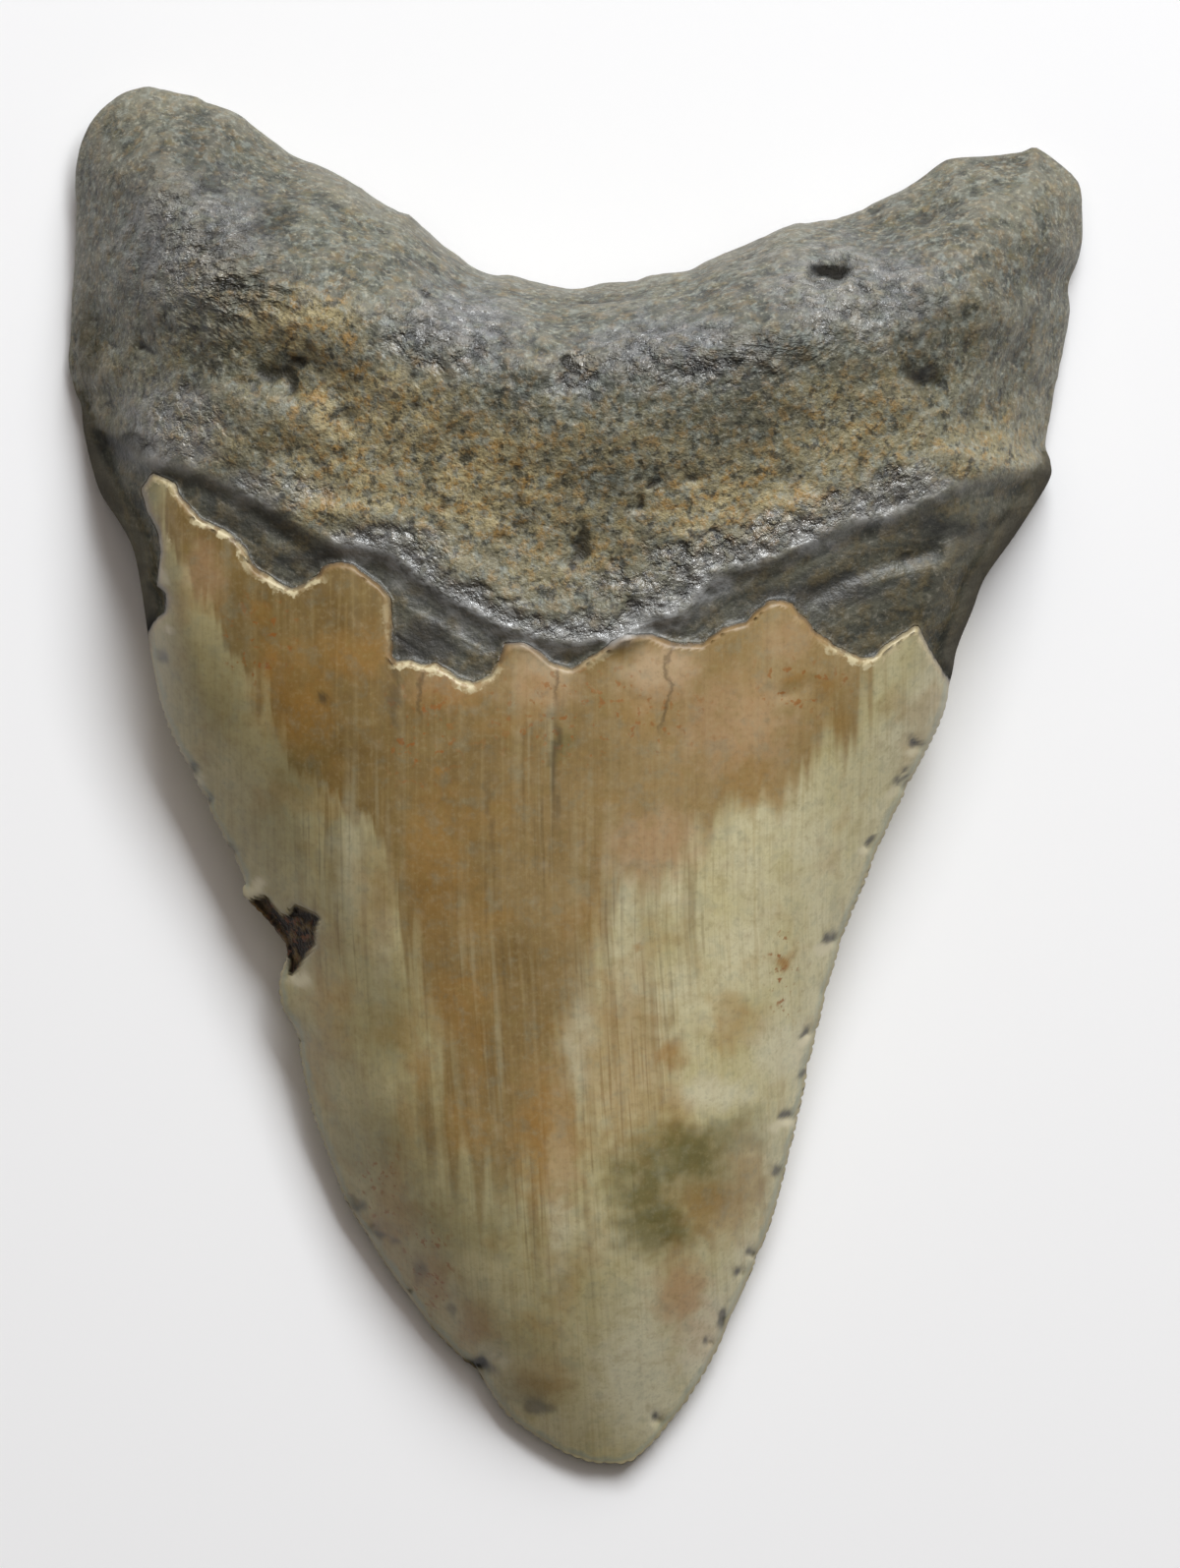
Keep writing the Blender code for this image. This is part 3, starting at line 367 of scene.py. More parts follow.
# Pits and swellings: x, y in drawing units, radius and rise in metres.
ROOT_SPOTS = [
    (-36.4, 59.2, 0.0018, -0.0005), (-39.6, 56, 0.0015, -0.0005),
    (-36.2, 53.6, 0.0014, -0.0005), (-33.7, 47.7, 0.0018, -0.0006),
    (-43.1, 42.7, 0.0007, -0.0009), (-26.9, 41.5, 0.001, -0.0009),
    (-30, 39.8, 0.002, -0.0008), (-14.6, 48, 0.0009, -0.0008),
    (-8.7, 42.7, 0.0017, -0.0008), (-8.7, 42.9, 0.0009, 0.0005), (-0.4, 41, 0.001, -0.0012),
    (-4.2, 42.6, 0.0013, -0.0005), (7.6, 29, 0.0005, -0.0007), (11.1, 29.8, 0.0009, -0.0005),
    (6.4, 27, 0.0009, -0.0006), (-5.9, 24.6, 0.001, -0.0005), (0.6, 22.8, 0.0011, -0.0007),
    (-0.6, 20.9, 0.0008, -0.0006), (10.2, 18.8, 0.0011, -0.0008), (10.2, 18.8, 0.0005, 0.0004),
    (5.5, 16.4, 0.001, -0.0007), (21.7, 29.3, 0.0012, -0.0004), (26.2, 50.6, 0.0013, -0.0016),
    (24.4, 49.8, 0.0011, -0.0009), (28.7, 48.1, 0.0008, -0.0007), (27.4, 49, 0.0006, 0.0005),
    (33.9, 40.6, 0.0018, -0.0007), (36.4, 39, 0.0012, -0.0005), (32.5, 27.5, 0.0013, -0.0006),
    (29.9, 27, 0.0009, -0.0004), (3, 36.4, 0.0015, 0.0004), (7, 37.4, 0.0013, 0.0004),
    (-38, 55, 0.009, 0.0012), (41, 48, 0.008, 0.0008), (0, 29, 0.011, -0.0008),
]
SPOT_WARP = 0.8             # how far the spots' shapes are pulled out of round
CHUNK = 4096                # points that are measured at a time
# Lumps of the bare dentine: size in millimetres, height in metres.
ROOT_LUMPS = [(6.5, 0.00038), (3.0, 0.00018), (1.5, 0.00011), (0.8, 0.00006)]


def feet(points, curve):
    """The nearest place on a curve to each point, and the curve's direction there."""
    start, along = curve[:-1], np.diff(curve, axis=0)
    length = np.maximum((along ** 2).sum(1), 1e-12)
    foot, direction = np.empty_like(points), np.empty_like(points)
    for first in range(0, len(points), CHUNK):
        some = points[first:first + CHUNK]
        gap = some[:, None, :] - start[None]
        share = np.clip((gap * along[None]).sum(2) / length[None], 0, 1)
        place = start[None] + share[..., None] * along[None]
        nearest = ((some[:, None, :] - place) ** 2).sum(2).argmin(1)
        foot[first:first + CHUNK] = place[np.arange(len(some)), nearest]
        direction[first:first + CHUNK] = along[nearest]
    return foot, direction


def distance(points, curve):
    """Each point's distance to a curve."""
    return np.linalg.norm(points - feet(points, curve)[0], axis=1)


def shoulder(distance_in, reach):
    """A quarter ellipse: 0 at the outline and 1 at the reach."""
    return np.sqrt(1 - (1 - np.clip(distance_in / reach, 0, 1)) ** 2)


def root_side(place):
    """0 at the outline and 1 on top: a quarter ellipse at the neck, a parabola on the lobes."""
    x, y = place.points.T
    lobe = between(np.abs(x), LOBE_FROM, LOBE_TO) * between(y, LOBE_FOOT_FROM, LOBE_FOOT_TO)
    reach = SHOULDER_AT_BLADE
    reach = reach + (SHOULDER_AT_ROOT - reach) * between(y, SHOULDER_FROM, SHOULDER_TO)
    reach = reach + (SHOULDER_AT_LOBES - reach) * lobe
    steep = shoulder(place.side, reach)
    gentle = 1 - (1 - np.clip(place.side / reach, 0, 1)) ** 2
    return steep + (gentle - steep) * lobe * (1 - LOBE_ROUNDING)


def root_height(place):
    """Height of the root: a level top that falls to the lobes, the crest, and the sides."""
    x, y = place.points.T
    foot, along = feet(place.points, smooth_curve(CREST_LINE))
    miss = place.points - foot
    lobe_side = along[:, 0] * miss[:, 1] - along[:, 1] * miss[:, 0]
    lobe_side /= np.maximum(np.linalg.norm(along, axis=1) * np.linalg.norm(miss, axis=1), 1e-9)
    width = CREST_TO_BLADE + (CREST_TO_LOBES - CREST_TO_BLADE) * (1 + lobe_side) / 2
    to_side = (x / HALF_WIDTH) ** 2
    crest = np.exp(-((miss ** 2).sum(1)) / width ** 2) * (1 - CREST_FALL * to_side)
    lobe_end = LOBE_END_FALL * between(y, LOBE_END_FROM, LOBE_END_TO)
    level = ROOT_HEIGHT * (1 - LOBE_FALL * to_side - lobe_end) + CREST_RISE * crest
    return place.rim + (level - place.rim) * root_side(place)


def root_relief(place):
    """Ridges are bell-shaped along their line, and pits and swellings are bells out of round."""
    relief = np.zeros(len(place.points))
    warped = place.points + SPOT_WARP * np.column_stack([
        unevenness(place.points, 1.7, seed) for seed in (41, 42)])
    for line, rise, width in RIDGES:
        gap = distance(place.points, smooth_curve(line)) * UNIT
        relief += rise * np.exp(-(gap / width) ** 2) * place.inside
    for x, y, radius, rise in ROOT_SPOTS:
        gap = np.hypot(warped[:, 0] - x, warped[:, 1] - y) * UNIT
        relief += rise * np.exp(-(gap / radius) ** 2) * ease(2 * place.outline / EDGE_FADE)
    return relief


# ============================================================================ neck band
# Between root and enamel runs a band of dark, dense dentine. A rolled lip bounds it above, and
# thin scales lie on it like the edges of torn paper.
LIP_RISE = 0.0013
LIP_TO_BLADE = 1.3
LIP_LINE = smooth_curve([
    (-52, 36.5), (-47.5, 35.5), (-43.5, 32.3), (-38.5, 31), (-34.5, 29.3), (-31, 27.5),
    (-25.5, 24), (-22, 23.4), (-18.5, 22.5), (-15.5, 20.2), (-12, 18), (-9.5, 16.5),
    (-6.5, 15), (-2, 13.8), (2, 13.8), (5, 14.2), (7.5, 16.2), (10.5, 16.8),
    (13, 19.5), (16.5, 21), (19.5, 21.7), (22.5, 23.3), (27.5, 25.5), (31.5, 26.5),
    (35, 27.8), (41, 30), (52, 31.5),
])
SCALES = [
    ([(-17.8, 18.2), (-16.4, 16.4), (-14.8, 15.2), (-12.6, 14.4), (-11, 12.7), (-8.6, 11.9)],
     0.0002, 0.0008),
    ([(9, 15.6), (12, 16), (15, 17.8), (18.5, 19.2)], 0.00025, 0.0009),
    ([(24, 18), (27, 19.6), (31, 21.4), (36, 22.2)], -0.0004, 0.001),
    ([(33.5, 21.8), (39, 24.8), (44, 25.5)], -0.0004, 0.0012),
    ([(-31, 22.6), (-27.6, 21.9), (-24.4, 22.4)], 0.00015, 0.0009),
    ([(-38, 27.6), (-34, 26), (-30.6, 24)], 0.0002, 0.0009),
]


def band_relief(place):
    """The lip is a bell, wide on its upper side, and each scale's edge is a narrow bell."""
    width = np.where(place.lip > 0, LIP_TO_ROOT, LIP_TO_BLADE)
    relief = LIP_RISE * np.exp(-(place.lip / width) ** 2) * place.inside
    for line, rise, half_width in SCALES:
        gap = distance(place.points, smooth_curve(line)) * UNIT
        relief += rise * np.exp(-(gap / half_width) ** 2) * place.inside
    return relief


# ============================================================================ flat face
# The tooth lies on its flatter face. It is level in the middle and rises to the outline, and the
# enamel's edge crosses it as a low step below the root.
FLAT_FACE_REACH = 0.0095
BACK_ENAMEL_STEP = 0.0006
BACK_ENAMEL_MIDDLE, BACK_ENAMEL_DROP = 25.0, 15.0
BACK_GROOVE, BACK_BAND_FROM, BACK_BAND_WIDTH = 1.2, 4.0, 9.0
FLAT_SHARE, HOLLOW_POWER = 0.25, 1.3


def back_enamel_gap(points):
    """Distance below the flat face's enamel edge, a parabola across the tooth with a ragged run."""
    x, y = points.T
    ragged = 0.9 * unevenness(points, 5.0, 6) + 0.5 * unevenness(points, 1.8, 7)
    return BACK_ENAMEL_MIDDLE - BACK_ENAMEL_DROP * (np.abs(x) / HALF_WIDTH) ** 2 - y + ragged


def back_height(place):
    """Level in the middle, and rising to the rim by a power on the blade and an arc on the root."""
    from_flat = np.clip((1 - inward(place.u, place.v)) - FLAT_SHARE, 0, 1) / (1 - FLAT_SHARE)
    blade = place.rim * from_flat ** HOLLOW_POWER
    root = place.rim * (1 - shoulder(place.side, FLAT_FACE_REACH / UNIT))
    height = blade + (root - blade) * between(place.points[:, 1], ROOT_FROM, ROOT_TO)
    run_out = between(-place.enamel, BACK_BAND_FROM, BACK_BAND_FROM + BACK_BAND_WIDTH)
    groove = ease(-place.enamel / BACK_GROOVE) * (1 - run_out)
    return height + BACK_ENAMEL_STEP * groove * ease(place.outline / EDGE_FADE)


# ============================================================================ the tooth's mesh
# Both sheets share the vertices of the outline. Lumps and scattered pits of the bare dentine are
# added along the surface's normals, so that the steep sides have them too.
BACK_STRIDE = 2             # the flat face is plainer, so it has every second line of the net
SIDE_BLEND = 3.0            # power that blends the distances to the root's three sides
# Scattered pits: how many, least radius and how much more it can be, least depth in metres, and
# the most that is added to it as a share of the radius. They are worked out this many radii out.
PIT_COUNT = 180
PIT_RADIUS, PIT_RADIUS_MORE = 0.00035, 0.00065
PIT_DEPTH, PIT_DEPTH_SHARE = 0.00004, 0.35
PIT_REACH = 2.5
LUMPS_FROM, LUMPS_TO = -1.0, 1.5    # distances from the lip between which the lumps begin
BAND_LUMPS = 0.25           # share of the lumps that the neck band has
FLAT_LUMPS = 0.35           # share that the outline and the risen part of the flat face have
FLAT_LUMPS_RISE = 0.0008


def blended_distance(points, curves):
    """Distance to several curves at once, added as negative powers so that no crease is left."""
    total = sum(np.maximum(distance(points, curve), 0.001) ** -SIDE_BLEND for curve in curves)
    return total ** (-1 / SIDE_BLEND)


def above(points, curve):
    """Whether a point lies above an open curve, or inside a closed one: an odd count of crossings."""
    inside = np.empty(len(points), bool)
    x0, y0 = curve[:-1, 0], curve[:-1, 1]
    x1, y1 = curve[1:, 0], curve[1:, 1]
    for first in range(0, len(points), CHUNK):
        x = points[first:first + CHUNK, 0, None]
        y = points[first:first + CHUNK, 1, None]
        crosses = (x0 <= x) != (x1 <= x)
        height = y0 + (x - x0) * (y1 - y0) / np.where(x1 == x0, 1.0, x1 - x0)
        inside[first:first + CHUNK] = ((crosses & (height < y)).sum(1) % 2) == 1
    return inside


def places(points, u, v, front):
    """The distances that shapes and colours go by, in drawing units. Enamel and root are positive."""
    place = SimpleNamespace(points=points, u=u, v=v, rim=rim_height(points))
    place.outline = distance(points, np.vstack([rim_loop[::4], rim_loop[:1]]))
    place.side = blended_distance(points, (left, top, right))
    place.inside = ease(place.outline / EDGE_FADE)
    if front:
        place.enamel = distance(points, ENAMEL_EDGE) * np.where(above(points, ENAMEL_EDGE), -1, 1)
        place.lip = distance(points, LIP_LINE) * np.where(above(points, LIP_LINE), 1, -1)
        place.broken = distance(points, BREAK) * np.where(above(points, BREAK), 1, -1)
    else:
        place.enamel = back_enamel_gap(points)
        place.lip = -place.enamel - BACK_BAND_WIDTH / 2
        place.broken = np.full(len(points), -9.0)
    return place


def moved_onto(points, curve, reach):
    """The points, with those that are closer to a curve than the reach moved onto it."""
    foot, _ = feet(points, curve)
    close = np.linalg.norm(points - foot, axis=1) < reach
    return np.where(close[:, None], foot, points)


def rim_numbers():
    """Vertex numbers of the outline on each side of the net, going once round it clockwise."""
    count = 2 * (ROWS + COLUMNS)
    left_side = np.arange(ROWS + 1)
    top_side = ROWS + np.arange(COLUMNS + 1)
    right_side = (ROWS + COLUMNS + np.arange(ROWS + 1))[::-1]
    tip_side = ((2 * ROWS + COLUMNS + np.arange(COLUMNS + 1)) % count)[::-1]
    return left_side, right_side, tip_side, top_side


def side_fans(inner, rim, stride, flip):
    """Fans from the line of inner vertices to one side of the outline, corner to corner."""
    last = len(inner) - 1
    steps = np.arange(len(rim) - 1)
    hub = inner[np.clip(steps // stride - 1, 0, last)]
    turns = np.arange(last)
    fans = [np.column_stack([rim[steps], hub, rim[steps + 1]]),
            np.column_stack([inner[turns], inner[turns + 1], rim[(turns + 2) * stride]])]
    return [f[:, ::-1] for f in fans] if flip else fans


def sheet_faces(stride, first, height):
    """Triangles of one sheet, seen from above. Each cell is cut so that a ledge stays whole."""
    left_side, right_side, tip_side, top_side = rim_numbers()
    down, across = ROWS // stride, COLUMNS // stride
    number = np.empty((down + 1, across + 1), int)
    inner = np.arange((down - 1) * (across - 1)).reshape(down - 1, across - 1)
    number[1:-1, 1:-1] = first + inner
    number[:, 0], number[:, -1] = left_side[::stride], right_side[::stride]
    number[0], number[-1] = tip_side[::stride], top_side[::stride]
    a, b = number[1:-2, 1:-2].ravel(), number[1:-2, 2:-1].ravel()
    c, d = number[2:-1, 2:-1].ravel(), number[2:-1, 1:-2].ravel()
    level = np.abs(height[a] - height[c]) <= np.abs(height[b] - height[d])
    faces = [np.column_stack([a, b, np.where(level, c, d)]),
             np.column_stack([np.where(level, a, b), c, d])]
    faces += side_fans(number[1:-1, 1], left_side, stride, False)
    faces += side_fans(number[1:-1, -2], right_side, stride, True)
    faces += side_fans(number[1, 1:-1], tip_side, stride, True)
    faces += side_fans(number[-2, 1:-1], top_side, stride, False)
    return np.vstack(faces)


def normals_of(vertices, faces):
    """Each vertex's normal: the sum of its triangles' normals, weighted by their areas."""
    a, b, c = vertices[faces].swapaxes(0, 1)
    face_normal = np.cross(b - a, c - a)
    total = np.column_stack([np.bincount(faces.ravel(), np.repeat(face_normal[:, k], 3), len(vertices))
                             for k in range(3)])
    return total / np.linalg.norm(total, axis=1)[:, None]


def scattered_pits(vertices, chosen, seed):
    """Depth of round pits at random vertices: the deepest bell of radius 0.35 to 1 mm."""
    random = np.random.default_rng(seed)
    centres = vertices[random.choice(np.flatnonzero(chosen), PIT_COUNT, replace=False)]
    radius = PIT_RADIUS + PIT_RADIUS_MORE * random.random(PIT_COUNT) ** 3
    depth = PIT_DEPTH + PIT_DEPTH_SHARE * radius * random.random(PIT_COUNT)
    deepest = np.zeros(len(vertices))
    for centre, r, deep in zip(centres, radius, depth):
        near = np.flatnonzero(np.abs(vertices - centre).max(1) < PIT_REACH * r)
        gap = ((vertices[near] - centre) ** 2).sum(1)
        deepest[near] = np.maximum(deepest[near], deep * np.exp(-gap / r ** 2))
    return deepest


front_points, front_u, front_v = sheet_plan(1)
front_points = moved_onto(front_points, ENAMEL_EDGE, SNAP_REACH)
front = places(front_points, front_u, front_v, True)
blade_part, root_part = blade_height(front), root_height(front)
front_z = blade_part + (root_part - blade_part) * between(front.points[:, 1], ROOT_FROM, ROOT_TO)
front_z += enamel_relief(front) + root_relief(front) + band_relief(front)

back = places(*sheet_plan(BACK_STRIDE), False)
back_z = back_height(back)

lines_down, lines_across = np.arange(ROWS + 1) / ROWS, np.arange(COLUMNS + 1) / COLUMNS
rim_v = np.concatenate([lines_down, np.ones(COLUMNS), lines_down[::-1][1:], np.zeros(COLUMNS - 1)])
rim_u = np.concatenate([np.zeros(ROWS + 1), lines_across[1:], np.ones(ROWS), lines_across[::-1][1:-1]])
rim = places(rim_loop, rim_u, rim_v, True)

whole = SimpleNamespace(**{name: np.concatenate([getattr(p, name) for p in (rim, front, back)])
                           for name in vars(rim)})
vertices = np.column_stack([whole.points * UNIT, np.concatenate([rim.rim, front_z, back_z])])
vertices[:, :2] -= (vertices[:len(rim_loop), :2].min(0) + vertices[:len(rim_loop), :2].max(0)) / 2
front_start, back_start = len(rim_loop), len(rim_loop) + len(front_z)
faces = np.vstack([sheet_faces(1, front_start, vertices[:, 2]),
                   sheet_faces(BACK_STRIDE, back_start, vertices[:, 2])[:, ::-1]])

bare = ease(-whole.enamel)
on_root = bare * between(whole.lip, LUMPS_FROM, LUMPS_TO)
level_face = np.ones(len(vertices))
level_face[back_start:] = FLAT_LUMPS * ease(vertices[back_start:, 2] / FLAT_LUMPS_RISE)
level_face[:front_start] = FLAT_LUMPS
lumps = sum(height * unevenness(vertices * 1000, size, 10 + k)
            for k, (size, height) in enumerate(ROOT_LUMPS))
pits = scattered_pits(vertices, (on_root > 0.9) & (level_face > 0.3), 20)
relief = (lumps * (BAND_LUMPS * bare + (1 - BAND_LUMPS) * on_root) - pits * on_root) * level_face
vertices += normals_of(vertices, faces) * relief[:, None]
vertices[:, 2] = np.maximum(vertices[:, 2], 0.0)

scene = bpy.context.scene
mesh = bpy.data.meshes.new("fossil_tooth")
mesh.from_pydata(vertices.tolist(), [], faces.tolist())
mesh.shade_smooth()
fossil = bpy.data.objects.new("fossil_tooth", mesh)
scene.collection.objects.link(fossil)

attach(fossil, "root")
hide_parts("tooth")

# ============================================================================ colour maps
# What the ground did to the tooth: minerals soaked in along the enamel's growth lines, rust and
# clay stained it, and the hollows are darkened, partly as dirt and partly as painted shade. Some
# maps paint light and shade: shade in the chips and dips and on the steep sides at the neck,
# highlights below the chips and a sheen where the surface is slick. Each map is a number at every vertex.
STAIN = smooth_curve([
    (-37, 30), (-34.8, 14.7), (-31.2, 10.2), (-31.2, 7), (-29.3, 4.4), (-28.6, 1.2),
    (-26.7, -0.1), (-24.8, -2.1), (-22.2, -4), (-19, -7.2), (-17.7, -11.7), (-17, -15),
    (-15.7, -20.8), (-13.8, -25.9), (-14.4, -31), (-15, -37), (-9, -40), (-1, -38.2),
    (0.2, -31), (0, -25.4), (0.8, -22.3), (1.2, -17.1), (2.8, -13.3), (6, -11.3),
    (9.9, -8.7), (13.8, -4.9), (16.3, -3.6), (20.2, -2.3), (26, 2.9), (28, 5.1),
    (30, 14), (28, 30),
], closed=True)
